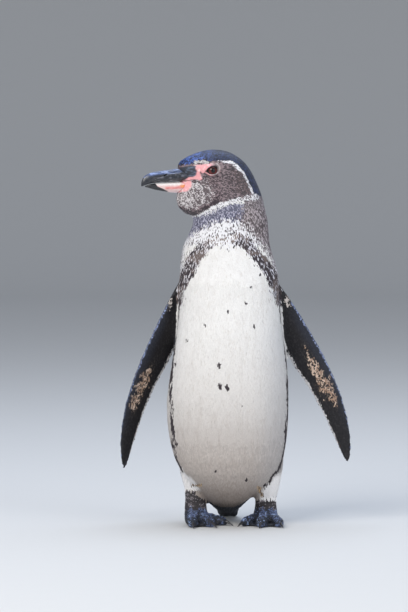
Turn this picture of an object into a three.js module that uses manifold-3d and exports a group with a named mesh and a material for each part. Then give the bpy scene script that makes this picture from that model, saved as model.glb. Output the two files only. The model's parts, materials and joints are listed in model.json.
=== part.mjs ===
// A Galapagos penguin, Spheniscus mendiculus, standing at rest: a still, life-size model.
// Millimetres, +Z up. The bird faces -Y, so its right side is at -X, and its head is turned
// to its right. The body is one closed form, parted into head, neck, trunk and thighs by thin cuts.
import * as THREE from 'three';
import { LoftGeometry } from 'three/addons/geometries/LoftGeometry.js';
import { mergeVertices } from 'three/addons/utils/BufferGeometryUtils.js';
import Module from 'manifold-3d';

const wasm = await Module();
wasm.setup();

// Fits
const GAP = 0.3;
const MERGE = 0.001;
const FAR = 1000;

// Body: rings stacked from the vent to the crown. Each row holds the height, the right and left
// extent in X, and the front and back extent in Y.
const BODY_STATIONS = [
  [9, -3, -1, 29, 31], // vent
  [14, -15, 11, 12, 44],
  [24, -25, 21, -8, 51],
  [40, -37, 37, -30, 56],
  [58, -54, 56, -46, 60], // groin
  [78, -65, 65, -57, 62],
  [110, -72.5, 70, -66, 62.5], // belly
  [148, -74.3, 71.2, -70, 61],
  [190, -68.5, 69.5, -69.5, 58],
  [235, -61.5, 62.5, -65.5, 54], // breast
  [275, -59.5, 60, -58, 49],
  [302, -58.9, 57.8, -50, 44],
  [328, -55.5, 49, -40.5, 38], // neck
  [348, -46, 47.3, -34, 33],
  [362, -42.5, 45.3, -31, 30.5], // throat
  [371, -58, 43, -29.5, 30], // chin
  [385, -62.2, 39.3, -28.5, 29],
  [398, -60, 34.6, -27.5, 28], // cheek
  [411, -57, 28.7, -26.5, 27],
  [421, -61, 23, -25.5, 26], // forehead
  [430, -56.5, 15.5, -22.5, 23],
  [437.8, -41, 4.1, -16.5, 17],
  [441.6, -28, -6, -8, 8.5],
  [442.6, -18, -15, -1, 1], // crown
];
const BODY_STEPS = 1.6; // rings per station
const BODY_SIDES = 32;
const BODY_SQUARENESS = 2.2; // exponent of a ring: 2 is an ellipse, and more is squarer

// Head turn: the long axis of the head's rings turns about the neck's upright axis.
const HEAD_TURN = THREE.MathUtils.degToRad(15);
const HEAD_TURN_START = 330;
const HEAD_TURN_END = 385;
const HEAD_EGG = 0.35; // how much narrower the face is than the back of the head
const NECK_AXIS_X = -2;

// Cuts between head, neck and trunk
const NECK_CUT_Z = 300;
const HEAD_CUT_FRONT = new THREE.Vector3(-44, 0, 361);
const HEAD_CUT_BACK = new THREE.Vector3(44, 0, 377);

// Eyes, on both sides of the head, measured along and across the head's long axis
const EYE_RADIUS = 6.3;
const EYE_ALONG = 24.7;
const EYE_ACROSS = 21.6;
const EYE_Z = 418;

// Bill, measured along the head's long axis from the neck's upright axis
// Rows of the upper bill: distance, half width, height of the lower edge, height of the ridge
const UPPER_BILL_STATIONS = [
  [38, 13.5, 407.2, 423],
  [50, 13, 405.9, 421.5],
  [62, 11.5, 405.1, 420],
  [75, 8.8, 404.3, 418.2],
  [88, 6.6, 403.5, 416.6],
  [97, 4.6, 401.8, 414],
  [102, 2.8, 399.8, 410],
  [104.4, 1.0, 399, 404.5],
];
// Rows of the lower bill: distance, half width, height of the keel, height of the upper edge
const LOWER_BILL_STATIONS = [
  [38, 12, 392, 406.7],
  [50, 11.6, 391, 405.4],
  [62, 10.2, 391.5, 404.6],
  [75, 7.8, 392.9, 403.8],
  [88, 5.6, 395.2, 403],
  [96, 3.4, 397.6, 401.4],
  [100, 1.2, 398.6, 399.9],
];
const BILL_SIDES = 14;
const BILL_STEPS = 1.5;
const BILL_SQUARENESS = 2.3;
const BILL_RIDGE = 0.58; // width at the ridge and keel, as a share of the width at the gape

// Wings: rows of distance from the shoulder along the span, chord, outward sweep, thickness
const WING_STATIONS = [
  [-26, 26, -1, 9],
  [0, 35, 0, 8],
  [27, 39.5, 2.2, 6.8],
  [54, 41, 4.6, 6],
  [80, 40, 7.4, 5.4],
  [106, 35.6, 10.1, 4.9],
  [134, 31.6, 11, 4.4],
  [160, 26.2, 9.4, 3.9],
  [180, 20.7, 6.8, 3.4],
  [196, 14.2, 3.6, 2.8],
  [205, 8, 1.2, 2.3],
  [209, 3, 0, 1.8],
];
const WING_SIDES = 14;
const WING_BACKWARD = 0.05; // the wing's slope to the back, over its length
const WING_EDGE = 0.4; // thickness of the trailing edge, as a share of the leading edge

// Tail: rows of distance from inside the rump to the tip, half width, half thickness
const TAIL_STATIONS = [
  [0, 17, 9],
  [22, 15.5, 6.5],
  [44, 14.5, 4.4],
  [62, 12.5, 3],
  [72, 8.5, 2.2],
  [77, 3, 1.4],
];
const TAIL_ROOT = new THREE.Vector3(-1, 26, 43);
const TAIL_TIP = new THREE.Vector3(-1, 88, 0.7);
const TAIL_SIDES = 14;
const TAIL_SQUARENESS = 2.4;

// The two sides differ a little in stance. Flare is the wing's angle from the upright, twist is
// how far its leading edge is turned forward, and cuff is where the feathers of the leg end.
const SIDES = [
  {
    side: 'right',
    sign: -1,
    shoulder: new THREE.Vector3(-56.5, 3, 264),
    wingFlare: THREE.MathUtils.degToRad(18.8),
    wingTwist: THREE.MathUtils.degToRad(36),
    cuffZ: 44,
    ankle: new THREE.Vector2(-39.4, 6),
    kneeX: -38,
    footTurn: THREE.MathUtils.degToRad(25),
  },
  {
    side: 'left',
    sign: 1,
    shoulder: new THREE.Vector3(54, 3, 264),
    wingFlare: THREE.MathUtils.degToRad(24.4),
    wingTwist: THREE.MathUtils.degToRad(12),
    cuffZ: 34,
    ankle: new THREE.Vector2(43.5, 6),
    kneeX: 42,
    footTurn: THREE.MathUtils.degToRad(-8),
  },
];

// Legs
const KNEE_Y = 4;
const KNEE_Z = 88;
const THIGH_WIDTH = 24;
const THIGH_DEPTH = 27;
const THIGH_CROWN = 19; // height of the dome above the knee
const THIGH_SIDES = 16;
const CUFF_WIDTH = 14.8;
const CUFF_DEPTH = 13.2;
const SHANK_WIDTH = 13.2;
const SHANK_DEPTH = 10.6;
const SHANK_WAIST = 0.07; // how much the shank narrows in the middle
const INSTEP_Z = 18;
const SHANK_SIDES = 16;

// Feet, in a frame with the ankle at the origin and the middle toe along -Y. A toe has its angle
// outwards in degrees, the place of its root, its length, its radius at root and tip, and its claw.
const INNER_TOE = { angle: -27, across: -7.6, back: -6, length: 34, root: 8.0, tip: 5.6, claw: 10 };
const MIDDLE_TOE = { angle: 0, across: 0, back: -6, length: 42, root: 8.8, tip: 6, claw: 11 };
const OUTER_TOE = { angle: 23, across: 7.6, back: -6, length: 39, root: 8.2, tip: 5.6, claw: 10.5 };
const HALLUX = { angle: -118, across: -6, back: 2, length: 11, root: 3.4, tip: 2.6, claw: 5.5 };
const TOES = { inner: INNER_TOE, middle: MIDDLE_TOE, outer: OUTER_TOE, hallux: HALLUX };
const TOE_SIDES = 9;
const TOE_KNUCKLES = 3;
const TOE_SINK = 0.82; // height of a toe's middle above the sole, as a share of its radius
const TOE_ROUND_START = 0.83; // where the rounding of the toe's end starts, along its length
const TOE_END_RADIUS = 0.2; // radius at the very end, as a share
const KNUCKLE_SWELL = 0.07;
const CLAW_BASE = 2.7;
const CLAW_TIP = 0.55;
const CLAW_CLEARANCE = 0.5; // height of the claw's tip over the floor
const CLAW_SIDES = 6;
const WEB_REACH = 0.86; // how far along the toes the web's edge starts
const WEB_SCALLOP = 0.82; // how far out the middle of the web's edge lies
const WEB_BASE_Z = 0.6;
const WEB_THICKNESS = 2.4;

const COLOURS = {
  dark: { color: 0x3c3f47, roughness: 0.85 },
  pale: { color: 0xdedad2, roughness: 0.9 },
  foot: { color: 0x4b5361, roughness: 0.7 },
  horn: { color: 0x23242a, roughness: 0.45 },
  lowerBill: { color: 0x6c5555, roughness: 0.5 },
  eye: { color: 0x2a1512, roughness: 0.08 },
};

/** A function that reads rows of sizes at any fractional row number, by cubic interpolation. */
function stations(rows) {
  const positions = rows.map((row, index) => index);
  const curve = new THREE.CubicInterpolant(positions, rows.flat(), rows[0].length);
  return (index) => Array.from(curve.evaluate(index));
}

/** Rows of sizes read off at even steps, so many for each given row. */
function refined(rows, steps) {
  const read = stations(rows);
  const count = Math.floor((rows.length - 1) * steps);
  const last = rows.length - 1;
  return Array.from({ length: count + 1 }, (unused, index) => read((index / count) * last));
}

/** A closed three.js geometry as a solid. */
function solid(geometry) {
  const bare = new THREE.BufferGeometry();
  bare.setAttribute('position', geometry.getAttribute('position'));
  bare.setIndex(geometry.getIndex());
  const merged = mergeVertices(bare, MERGE);
  const triangles = [];
  for (let i = 0; i < merged.index.count; i += 3) {
    const corners = [0, 1, 2].map((k) => merged.index.getX(i + k));
    if (new Set(corners).size === 3) triangles.push(corners);
  }
  const build = (faces) => new wasm.Manifold(new wasm.Mesh({
    numProp: 3,
    vertProperties: new Float32Array(merged.attributes.position.array),
    triVerts: new Uint32Array(faces.flat()),
  }));
  const made = build(triangles);
  if (made.volume() > 0) return made;
  return build(triangles.map(([a, b, c]) => [a, c, b]));
}

/** The largest body of a solid, without the crumbs that a cut can leave. */
function largest(shape) {
  return shape.decompose().reduce((best, body) => (body.volume() > best.volume() ? body : best));
}

/** A ring shrunk to its middle, which closes the end of a loft with a fan of triangles. */
function pole(points) {
  const middle = new THREE.Vector3();
  points.forEach((point) => middle.addScaledVector(point, 1 / points.length));
  return points.map(() => middle.clone());
}

/** A closed solid lofted through rings of points. */
function loft(rings) {
  return solid(new LoftGeometry([pole(rings[0]), ...rings, pole(rings.at(-1))]));
}

/** One point of a rounded ring: the cosine and sine of its angle, squared off by an exponent. */
function superellipse(angle, exponent) {
  const bend = (value) => Math.sign(value) * Math.abs(value) ** (2 / exponent);
  return [bend(Math.cos(angle)), bend(Math.sin(angle))];
}

/** A ring of points, from a function of the angle. */
function ring(sides, point) {
  return Array.from({ length: sides }, (unused, k) => point((k / sides) * Math.PI * 2));
}

/** The half of space behind a plane, as a large box, for cutting. */
function halfSpace(point, normal, setback) {
  const box = new THREE.BoxGeometry(FAR, FAR, FAR);
  const matrix = new THREE.Matrix4().lookAt(normal, new THREE.Vector3(), new THREE.Vector3(0, 1, 0.1));
  const centre = point.clone().addScaledVector(normal, -FAR / 2 - setback);
  return solid(box.applyMatrix4(matrix.setPosition(centre)));
}

/** How far the head's rings are turned at a height. */
function turnAt(z) {
  return HEAD_TURN * THREE.MathUtils.smoothstep(z, HEAD_TURN_START, HEAD_TURN_END);
}

/** One ring of the body. The rings of the head are egg-shaped, and turned about the neck. */
function bodyRing([z, right, left, front, back], grow) {
  const turn = turnAt(z);
  const egg = HEAD_EGG * (turn / HEAD_TURN);
  const stretch = 1 / Math.cos(turn);
  const centreX = NECK_AXIS_X + ((right + left) / 2 - NECK_AXIS_X) * stretch;
  const halfX = ((left - right) / 2) * stretch + grow;
  const centreY = (front + back) / 2;
  const halfY = (back - front) / 2 + grow;
  const exponent = THREE.MathUtils.lerp(BODY_SQUARENESS, 2, turn / HEAD_TURN);
  return ring(BODY_SIDES, (angle) => {
    const [u, v] = superellipse(angle, exponent);
    const along = centreX - NECK_AXIS_X + halfX * u;
    const across = centreY + halfY * v * (1 + egg * u);
    const x = NECK_AXIS_X + along * Math.cos(turn) - across * Math.sin(turn);
    const y = along * Math.sin(turn) + across * Math.cos(turn);
    return new THREE.Vector3(x, y, z);
  });
}

/** The whole body from vent to crown, grown by an even margin. */
function bodyForm(grow = 0) {
  const rows = refined(BODY_STATIONS, BODY_STEPS);
  const rings = rows.map((row) => bodyRing(row, grow));
  rings[0].forEach((point) => { point.z -= grow; });
  rings.at(-1).forEach((point) => { point.z += grow; });
  return loft(rings);
}

/** A point given along and across the head's long axis. */
function headPoint(along, across, z) {
  const x = NECK_AXIS_X - along * Math.cos(HEAD_TURN) - across * Math.sin(HEAD_TURN);
  const y = -along * Math.sin(HEAD_TURN) + across * Math.cos(HEAD_TURN);
  return new THREE.Vector3(x, y, z);
}

/** One half of the bill: broad where the halves meet, and narrower at the ridge or the keel. */
function billHalf(rows, arch) {
  const rings = refined(rows, BILL_STEPS).map(([along, half, bottom, top]) => {
    const middle = (bottom + top) / 2;
    const halfHeight = (top - bottom) / 2;
    return ring(BILL_SIDES, (angle) => {
      const [u, v] = superellipse(angle, BILL_SQUARENESS);
      const narrowing = THREE.MathUtils.lerp(1, BILL_RIDGE, (1 + arch * v) / 2);
      return headPoint(along, half * u * narrowing, middle + halfHeight * v);
    });
  });
  return loft(rings);
}

/** The wing of one side, hanging from the shoulder, with its underside to the front. */
function wingForm({ sign, shoulder, wingFlare, wingTwist }) {
  const span = new THREE.Vector3(sign * Math.sin(wingFlare), WING_BACKWARD, -Math.cos(wingFlare));
  span.normalize();
  const flat = new THREE.Vector3(sign * Math.cos(wingFlare), 0, Math.sin(wingFlare));
  const chordwise = flat.clone().applyAxisAngle(span, sign * wingTwist);
  const through = new THREE.Vector3().crossVectors(span, chordwise).normalize();
  const rings = WING_STATIONS.map(([along, chord, sweep, thickness]) => (
    ring(WING_SIDES, (angle) => {
      const [u, v] = superellipse(angle, 2);
      const depth = (thickness / 2) * v * THREE.MathUtils.lerp(WING_EDGE, 1, (1 + u) / 2);
      const point = shoulder.clone().addScaledVector(span, along);
      point.addScaledVector(flat, sweep).addScaledVector(chordwise, (chord / 2) * u);
      return point.addScaledVector(through, depth);
    })
  ));
  return loft(rings);
}

/** The tail: a flat, stiff wedge sloping down behind the rump. */
function tailForm() {
  const axis = TAIL_TIP.clone().sub(TAIL_ROOT);
  const length = axis.length();
  axis.normalize();
  const across = new THREE.Vector3(1, 0, 0);
  const up = new THREE.Vector3().crossVectors(across, axis);
  const reach = TAIL_STATIONS.at(-1)[0];
  const rings = TAIL_STATIONS.map(([along, half, thick]) => (
    ring(TAIL_SIDES, (angle) => {
      const [u, v] = superellipse(angle, TAIL_SQUARENESS);
      const point = TAIL_ROOT.clone().addScaledVector(axis, (along / reach) * length);
      return point.addScaledVector(across, half * u).addScaledVector(up, thick * v);
    })
  ));
  return loft(rings);
}

/** An upright tapered column of oval rings between two heights. */
function column(rows, sides) {
  return loft(rows.map(([x, y, z, halfX, halfY]) => (
    ring(sides, (angle) => new THREE.Vector3(
      x + halfX * Math.cos(angle),
      y + halfY * Math.sin(angle),
      z,
    ))
  )));
}

/** The feathered thigh: a cuff at the bottom, widening upwards into the flank. */
function thighForm({ ankle, kneeX, cuffZ }, grow = 0) {
  const cuff = [ankle.x, ankle.y, cuffZ - grow, CUFF_WIDTH + grow, CUFF_DEPTH + grow];
  const knee = [kneeX, KNEE_Y, KNEE_Z, THIGH_WIDTH + grow, THIGH_DEPTH + grow];
  const rows = [0, 0.2, 0.4, 0.6, 0.8, 1].map((t) => {
    const swell = Math.sin((t * Math.PI) / 2);
    const row = cuff.map((value, k) => THREE.MathUtils.lerp(value, knee[k], swell));
    row[2] = THREE.MathUtils.lerp(cuff[2], knee[2], t);
    return row;
  });
  const [x, y, z, halfX, halfY] = rows.at(-1);
  const crown = [0.45, 0.85].map((t) => {
    const shrink = Math.sqrt(1 - t * t);
    return [x, y, z + t * THIGH_CROWN, halfX * shrink, halfY * shrink];
  });
  return column([...rows, ...crown], THIGH_SIDES);
}

/** The bare, scaly shank between the cuff and the instep. */
function shankForm({ ankle, cuffZ }, grow = 0) {
  const top = cuffZ - GAP + grow;
  const bottom = INSTEP_Z + GAP - grow;
  const rows = [0, 0.25, 0.5, 0.75, 1].map((t) => {
    const waist = 1 - SHANK_WAIST * Math.sin(Math.PI * t);
    const z = THREE.MathUtils.lerp(bottom, top, t);
    return [ankle.x, ankle.y, z, SHANK_WIDTH * waist + grow, SHANK_DEPTH * waist + grow];
  });
  return column(rows, SHANK_SIDES);
}

/** The root of a toe and the direction it points in, in the foot's frame. */
function toeLine({ angle, across, back }, side) {
  const turn = THREE.MathUtils.degToRad(angle) * side;
  return {
    root: new THREE.Vector3(across * side, back, 0),
    forward: new THREE.Vector3(Math.sin(turn), -Math.cos(turn), 0),
    sideways: new THREE.Vector3(Math.cos(turn), Math.sin(turn), 0),
  };
}

/** A toe: a jointed tube with a round end. Its sole is trimmed flat with the foot. */
function toeForm(toe, side, grow = 0) {
  const { root, forward, sideways } = toeLine(toe, side);
  const steps = [0, 0.17, 0.33, 0.5, 0.67, 0.83, 0.94, 1];
  const rings = steps.map((t) => {
    const knuckle = 1 + KNUCKLE_SWELL * Math.cos(t * TOE_KNUCKLES * 2 * Math.PI);
    const nearEnd = Math.max(0, (t - TOE_ROUND_START) / (1 - TOE_ROUND_START));
    const rounding = Math.max(TOE_END_RADIUS, Math.sqrt(1 - nearEnd * nearEnd));
    const plain = THREE.MathUtils.lerp(toe.root, toe.tip, t);
    const radius = plain * knuckle * rounding + grow;
    const rise = plain * TOE_SINK;
    const centre = root.clone().addScaledVector(forward, t * toe.length + (t === 1 ? grow : 0));
    return ring(TOE_SIDES, (angle) => centre.clone()
      .addScaledVector(sideways, radius * Math.cos(angle))
      .setZ(rise + radius * Math.sin(angle)));
  });
  return loft(rings);
}

/** A claw: a tapering horn that curves down from the end of its toe. */
function clawForm(toe, side) {
  const { root, forward, sideways } = toeLine(toe, side);
  const start = toe.length - toe.tip;
  const base = Math.min(CLAW_BASE, toe.tip * 0.72);
  const rings = [0, 0.35, 0.7, 1].map((t) => {
    const radius = THREE.MathUtils.lerp(base, CLAW_TIP, t ** 1.25);
    const centre = root.clone().addScaledVector(forward, start + t * (toe.claw + toe.tip));
    const z = THREE.MathUtils.lerp(toe.tip, CLAW_TIP + CLAW_CLEARANCE, t * t);
    return ring(CLAW_SIDES, (angle) => centre.clone()
      .addScaledVector(sideways, radius * Math.cos(angle))
      .setZ(z + radius * Math.sin(angle)));
  });
  return loft(rings);
}

/** The web between two neighbouring toes, with a hollow front edge. */
function webForm(first, second, side) {
  const reach = (toe) => {
    const { root, forward } = toeLine(toe, side);
    return root.addScaledVector(forward, toe.length * WEB_REACH);
  };
  const a = reach(first);
  const b = reach(second);
  const control = a.clone().add(b).multiplyScalar(WEB_SCALLOP / 2);
  const shape = new THREE.Shape();
  shape.moveTo(0, 0);
  shape.lineTo(a.x, a.y);
  shape.quadraticCurveTo(control.x, control.y, b.x, b.y);
  shape.closePath();
  const web = new THREE.ExtrudeGeometry(shape, {
    depth: WEB_THICKNESS,
    bevelEnabled: false,
    curveSegments: 5,
  });
  return solid(web.translate(0, 0, WEB_BASE_Z));
}

/** The instep: the block that joins the toes below the shank, in rings from below the sole up. */
function instepForm() {
  return column([
    [0, -2, -1, 11.5, 12.5],
    [0, -3.5, 4, 14, 14.5],
    [0, -3, 9.5, 14.6, 14],
    [0, -1.5, 14.5, 13.9, 12],
    [0, 0, INSTEP_Z, SHANK_WIDTH, SHANK_DEPTH],
  ], SHANK_SIDES);
}

const UP = new THREE.Vector3(0, 0, 1);
const aboveFloor = halfSpace(new THREE.Vector3(), UP.clone().negate(), 0);

const penguin = new THREE.Group();
const bird = new THREE.Group();
penguin.add(bird);

/** Adds a piece to a group. Its mesh is placed at a pivot, with its shape measured from there. */
function addPiece(group, name, shape, pivot, look) {
  const { vertProperties, triVerts } = largest(shape).getMesh();
  const geometry = new THREE.BufferGeometry();
  geometry.setAttribute('position', new THREE.BufferAttribute(vertProperties, 3));
  geometry.setIndex(new THREE.BufferAttribute(triVerts, 1));
  geometry.translate(-pivot.x, -pivot.y, -pivot.z);
  const flat = geometry.toNonIndexed();
  flat.computeVertexNormals();
  const material = new THREE.MeshStandardMaterial({ ...look, metalness: 0 });
  const mesh = new THREE.Mesh(flat, material);
  mesh.name = name;
  mesh.position.copy(pivot);
  group.add(mesh);
}

// Head, neck, trunk and thighs
const body = bodyForm();
const headAxis = HEAD_CUT_BACK.clone().sub(HEAD_CUT_FRONT);
const headCutNormal = new THREE.Vector3(-headAxis.z, 0, headAxis.x).normalize();
const headCutPoint = HEAD_CUT_FRONT.clone().lerp(HEAD_CUT_BACK, 0.5);
const neckCutPoint = new THREE.Vector3(NECK_AXIS_X, 0, NECK_CUT_Z);
const belowHead = halfSpace(headCutPoint, headCutNormal, GAP / 2);
const aboveNeckTop = halfSpace(headCutPoint, headCutNormal.clone().negate(), GAP / 2);
const aboveNeckFoot = halfSpace(neckCutPoint, UP.clone().negate(), GAP / 2);
const belowNeckFoot = halfSpace(neckCutPoint, UP, GAP / 2);

const eyeCentres = [1, -1].map((across) => headPoint(EYE_ALONG, across * EYE_ACROSS, EYE_Z));
const eyeBall = (centre, radius) => {
  const sphere = new THREE.SphereGeometry(radius, 12, 8);
  return solid(sphere.translate(centre.x, centre.y, centre.z));
};
const upperBill = billHalf(UPPER_BILL_STATIONS, 1);
const lowerBill = billHalf(LOWER_BILL_STATIONS, -1);
const grownBody = bodyForm(GAP);

let headShape = body.intersect(aboveNeckTop);
eyeCentres.forEach((centre) => {
  headShape = headShape.subtract(eyeBall(centre, EYE_RADIUS + GAP));
});
addPiece(bird, 'head', headShape, headCutPoint, COLOURS.dark);
addPiece(bird, 'neck', body.intersect(belowHead).intersect(aboveNeckFoot), neckCutPoint, COLOURS.pale);

let trunkShape = body.intersect(belowNeckFoot);
SIDES.forEach((side) => {
  trunkShape = trunkShape.subtract(thighForm(side, GAP)).subtract(shankForm(side, GAP));
});
addPiece(bird, 'trunk', trunkShape, new THREE.Vector3(), COLOURS.pale);
const tailShape = tailForm().subtract(grownBody).intersect(aboveFloor);
addPiece(bird, 'tail', tailShape, TAIL_ROOT, COLOURS.dark);

// Bill and eyes
const billRoot = headPoint(UPPER_BILL_STATIONS[0][0], 0, UPPER_BILL_STATIONS[0][2]);
addPiece(bird, 'bill_upper', upperBill.subtract(grownBody), billRoot, COLOURS.horn);
addPiece(bird, 'bill_lower', lowerBill.subtract(grownBody), billRoot, COLOURS.lowerBill);
['eye_right', 'eye_left'].forEach((name, k) => {
  addPiece(bird, name, eyeBall(eyeCentres[k], EYE_RADIUS), eyeCentres[k], COLOURS.eye);
});

// Wings, thighs, shanks and feet of both sides
SIDES.forEach((side) => {
  const suffix = side.side;
  addPiece(bird, `wing_${suffix}`, wingForm(side).subtract(grownBody), side.shoulder, COLOURS.dark);
  const knee = new THREE.Vector3(side.kneeX, KNEE_Y, KNEE_Z);
  addPiece(bird, `thigh_${suffix}`, thighForm(side), knee, COLOURS.pale);
  const cuff = new THREE.Vector3(side.ankle.x, side.ankle.y, side.cuffZ);
  addPiece(bird, `shank_${suffix}`, shankForm(side), cuff, COLOURS.foot);

  const foot = new THREE.Group();
  foot.position.set(side.ankle.x, side.ankle.y, 0);
  foot.rotation.z = side.footTurn;
  bird.add(foot);
  let footShape = instepForm();
  footShape = footShape.add(webForm(INNER_TOE, MIDDLE_TOE, side.sign));
  footShape = footShape.add(webForm(MIDDLE_TOE, OUTER_TOE, side.sign));
  Object.values(TOES).forEach((toe) => {
    footShape = footShape.add(toeForm(toe, side.sign));
  });
  addPiece(foot, `foot_${suffix}`, footShape.intersect(aboveFloor), new THREE.Vector3(), COLOURS.foot);
  Object.entries(TOES).forEach(([name, toe]) => {
    const claw = clawForm(toe, side.sign).subtract(toeForm(toe, side.sign, GAP));
    const { root, forward } = toeLine(toe, side.sign);
    const knuckle = root.addScaledVector(forward, toe.length);
    addPiece(foot, `claw_${name}_${suffix}`, claw, knuckle, COLOURS.horn);
  });
});

// The origin is the middle of the box that holds the bird, on the floor.
penguin.updateMatrixWorld(true);
const box = new THREE.Box3().setFromObject(penguin, true);
const centre = box.getCenter(new THREE.Vector3());
bird.position.set(-centre.x, -centre.y, -box.min.z);

export default penguin;
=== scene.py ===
import json
import math
from functools import partial

import bmesh
import bpy
import numpy as np
from mathutils import Matrix, Vector
from mathutils.bvhtree import BVHTree

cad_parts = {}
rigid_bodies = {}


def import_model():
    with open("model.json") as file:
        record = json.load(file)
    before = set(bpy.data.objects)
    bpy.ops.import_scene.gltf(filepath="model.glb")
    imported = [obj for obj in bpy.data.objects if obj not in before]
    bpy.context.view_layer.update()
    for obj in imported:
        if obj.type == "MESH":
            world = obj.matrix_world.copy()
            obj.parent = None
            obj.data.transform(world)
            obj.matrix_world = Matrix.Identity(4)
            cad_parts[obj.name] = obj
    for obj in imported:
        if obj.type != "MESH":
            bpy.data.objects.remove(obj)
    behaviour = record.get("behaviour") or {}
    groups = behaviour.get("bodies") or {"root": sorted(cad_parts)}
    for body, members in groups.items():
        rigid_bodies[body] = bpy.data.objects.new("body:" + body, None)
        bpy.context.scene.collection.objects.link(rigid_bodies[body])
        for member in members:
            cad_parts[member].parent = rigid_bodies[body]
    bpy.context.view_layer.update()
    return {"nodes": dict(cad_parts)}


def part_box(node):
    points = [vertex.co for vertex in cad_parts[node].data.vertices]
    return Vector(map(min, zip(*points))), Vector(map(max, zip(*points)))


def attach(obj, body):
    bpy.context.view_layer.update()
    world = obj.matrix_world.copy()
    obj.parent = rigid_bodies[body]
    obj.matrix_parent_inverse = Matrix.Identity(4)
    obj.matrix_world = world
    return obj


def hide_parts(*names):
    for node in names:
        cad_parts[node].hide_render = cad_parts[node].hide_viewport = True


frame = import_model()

bl_info = {
    "name": "Galapagos Penguin",
    "version": (1, 0, 0),
    "blender": (4, 5, 0),
    "location": "View3D > Sidebar > Penguin",
    "description": "Builds the skin, plumage, bill, eyes, claws and studio of a standing penguin",
    "category": "Add Mesh",
}

MM = 0.001

# The bird's own axes: millimetres from a point on the floor under its trunk. It faces -Y.
TRUNK_LOW, TRUNK_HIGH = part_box("trunk")
TRUNK_OFFSET = (1.55, 3.76)
HOME = np.array([
    (TRUNK_LOW.x + TRUNK_HIGH.x) / 2 + TRUNK_OFFSET[0] * MM,
    (TRUNK_LOW.y + TRUNK_HIGH.y) / 2 + TRUNK_OFFSET[1] * MM,
    0.0,
])
NECK_AXIS = np.array([-2.0, 0.0, 0.0])
HEAD_TURN = math.radians(15)
FORWARD = np.array([-math.cos(HEAD_TURN), -math.sin(HEAD_TURN), 0.0])
LEFTWARD = np.array([math.sin(HEAD_TURN), -math.cos(HEAD_TURN), 0.0])
BILL_BASE = NECK_AXIS + np.array([0, 0, 409]) + FORWARD * 50
VIEW_TILT = math.radians(3)

TRUNK_NODES = ["trunk", "neck", "thigh_right", "thigh_left"]
LEG_NODES = ["shank_right", "shank_left", "foot_right", "foot_left"]
FLESH = [
    "head", "neck", "trunk", "tail", "wing_right", "wing_left", "thigh_right", "thigh_left",
    *LEG_NODES,
]
SIDES = {"right": -1, "left": 1}


def to_bird(points):
    """Metres in the frame to millimetres in the bird's own axes."""
    return (np.asarray(points, float) - HOME) / MM


def to_frame(points):
    """Millimetres in the bird's own axes to metres in the frame."""
    return np.asarray(points, float) * MM + HOME


# ---------------------------------------------------------------- arrays and noise

def ease(values, start, end):
    """A smooth step from 0 at start to 1 at end."""
    t = np.clip((np.asarray(values, float) - start) / (end - start), 0, 1)
    return t * t * (3 - 2 * t)


def lattice(cells, seed):
    """A fixed random number between 0 and 1 for each whole-numbered cell."""
    mixed = cells @ np.array([127.1, 311.7, 74.7]) + seed * 19.19
    return np.modf(np.abs(np.sin(mixed)) * 43758.5453)[0]


def cloud(points, size, seed=0):
    """Smooth noise between 0 and 1, with lumps of a given size in millimetres."""
    scaled = np.asarray(points) / size
    base = np.floor(scaled)
    part = scaled - base
    part = part * part * (3 - 2 * part)
    total = np.zeros(len(scaled))
    for corner in np.ndindex(2, 2, 2):
        offset = np.array(corner)
        weight = np.prod(np.where(offset, part, 1 - part), axis=1)
        total += weight * lattice(base + offset, seed)
    return total


def unit(vectors):
    """Vectors brought to length 1."""
    length = np.linalg.norm(vectors, axis=1, keepdims=True)
    return vectors / np.maximum(length, 1e-12)


def line_distance(plane, line):
    """The distance from each point of a plane to a line of straight stretches."""
    line = np.asarray(line, float)
    best = np.full(len(plane), 1e9)
    for start, end in zip(line[:-1], line[1:]):
        run = end - start
        t = np.clip(((plane - start) @ run) / (run @ run), 0, 1)
        gap = plane - (start + t[:, None] * run)
        best = np.minimum(best, np.hypot(gap[:, 0], gap[:, 1]))
    return best


def stroke(plane, line, half_width, soft):
    """1 along a line, falling to 0 past its half width."""
    return 1 - ease(line_distance(plane, line), half_width - soft / 2, half_width + soft / 2)


def patch(plane, outline, soft):
    """1 inside a closed outline and 0 outside it, with a soft edge."""
    ring = np.asarray(list(outline) + [outline[0]], float)
    inside = np.zeros(len(plane), bool)
    for (x0, y0), (x1, y1) in zip(ring[:-1], ring[1:]):
        crosses = (y0 > plane[:, 1]) != (y1 > plane[:, 1])
        if y1 != y0:
            at = x0 + (plane[:, 1] - y0) * (x1 - x0) / (y1 - y0)
            inside ^= crosses & (plane[:, 0] < at)
    distance = line_distance(plane, ring)
    return ease(np.where(inside, distance, -distance), -soft / 2, soft / 2)


def cover(colour, mask, new):
    """Lays a new colour over an array of colours, as far as a mask from 0 to 1 covers them."""
    colour += (np.asarray(new) - colour) * np.clip(mask, 0, 1)[:, None]


# ---------------------------------------------------------------- meshes

def coordinates(mesh, what="co"):
    """A mesh's vertices as an array."""
    flat = np.empty(len(mesh.vertices) * 3, np.float32)
    mesh.vertices.foreach_get(what, flat)
    return flat.reshape(-1, 3).astype(float)


def normals(mesh):
    """A mesh's vertex normals as an array."""
    return coordinates(mesh, "normal")


def edge_ends(mesh):
    """The two vertex numbers of each edge."""
    flat = np.empty(len(mesh.edges) * 2, np.int32)
    mesh.edges.foreach_get("vertices", flat)
    return flat.reshape(-1, 2)


def place_vertices(mesh, points):
    """Moves a mesh's vertices to new places."""
    mesh.vertices.foreach_set("co", np.asarray(points, np.float32).ravel())
    mesh.update()


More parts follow.
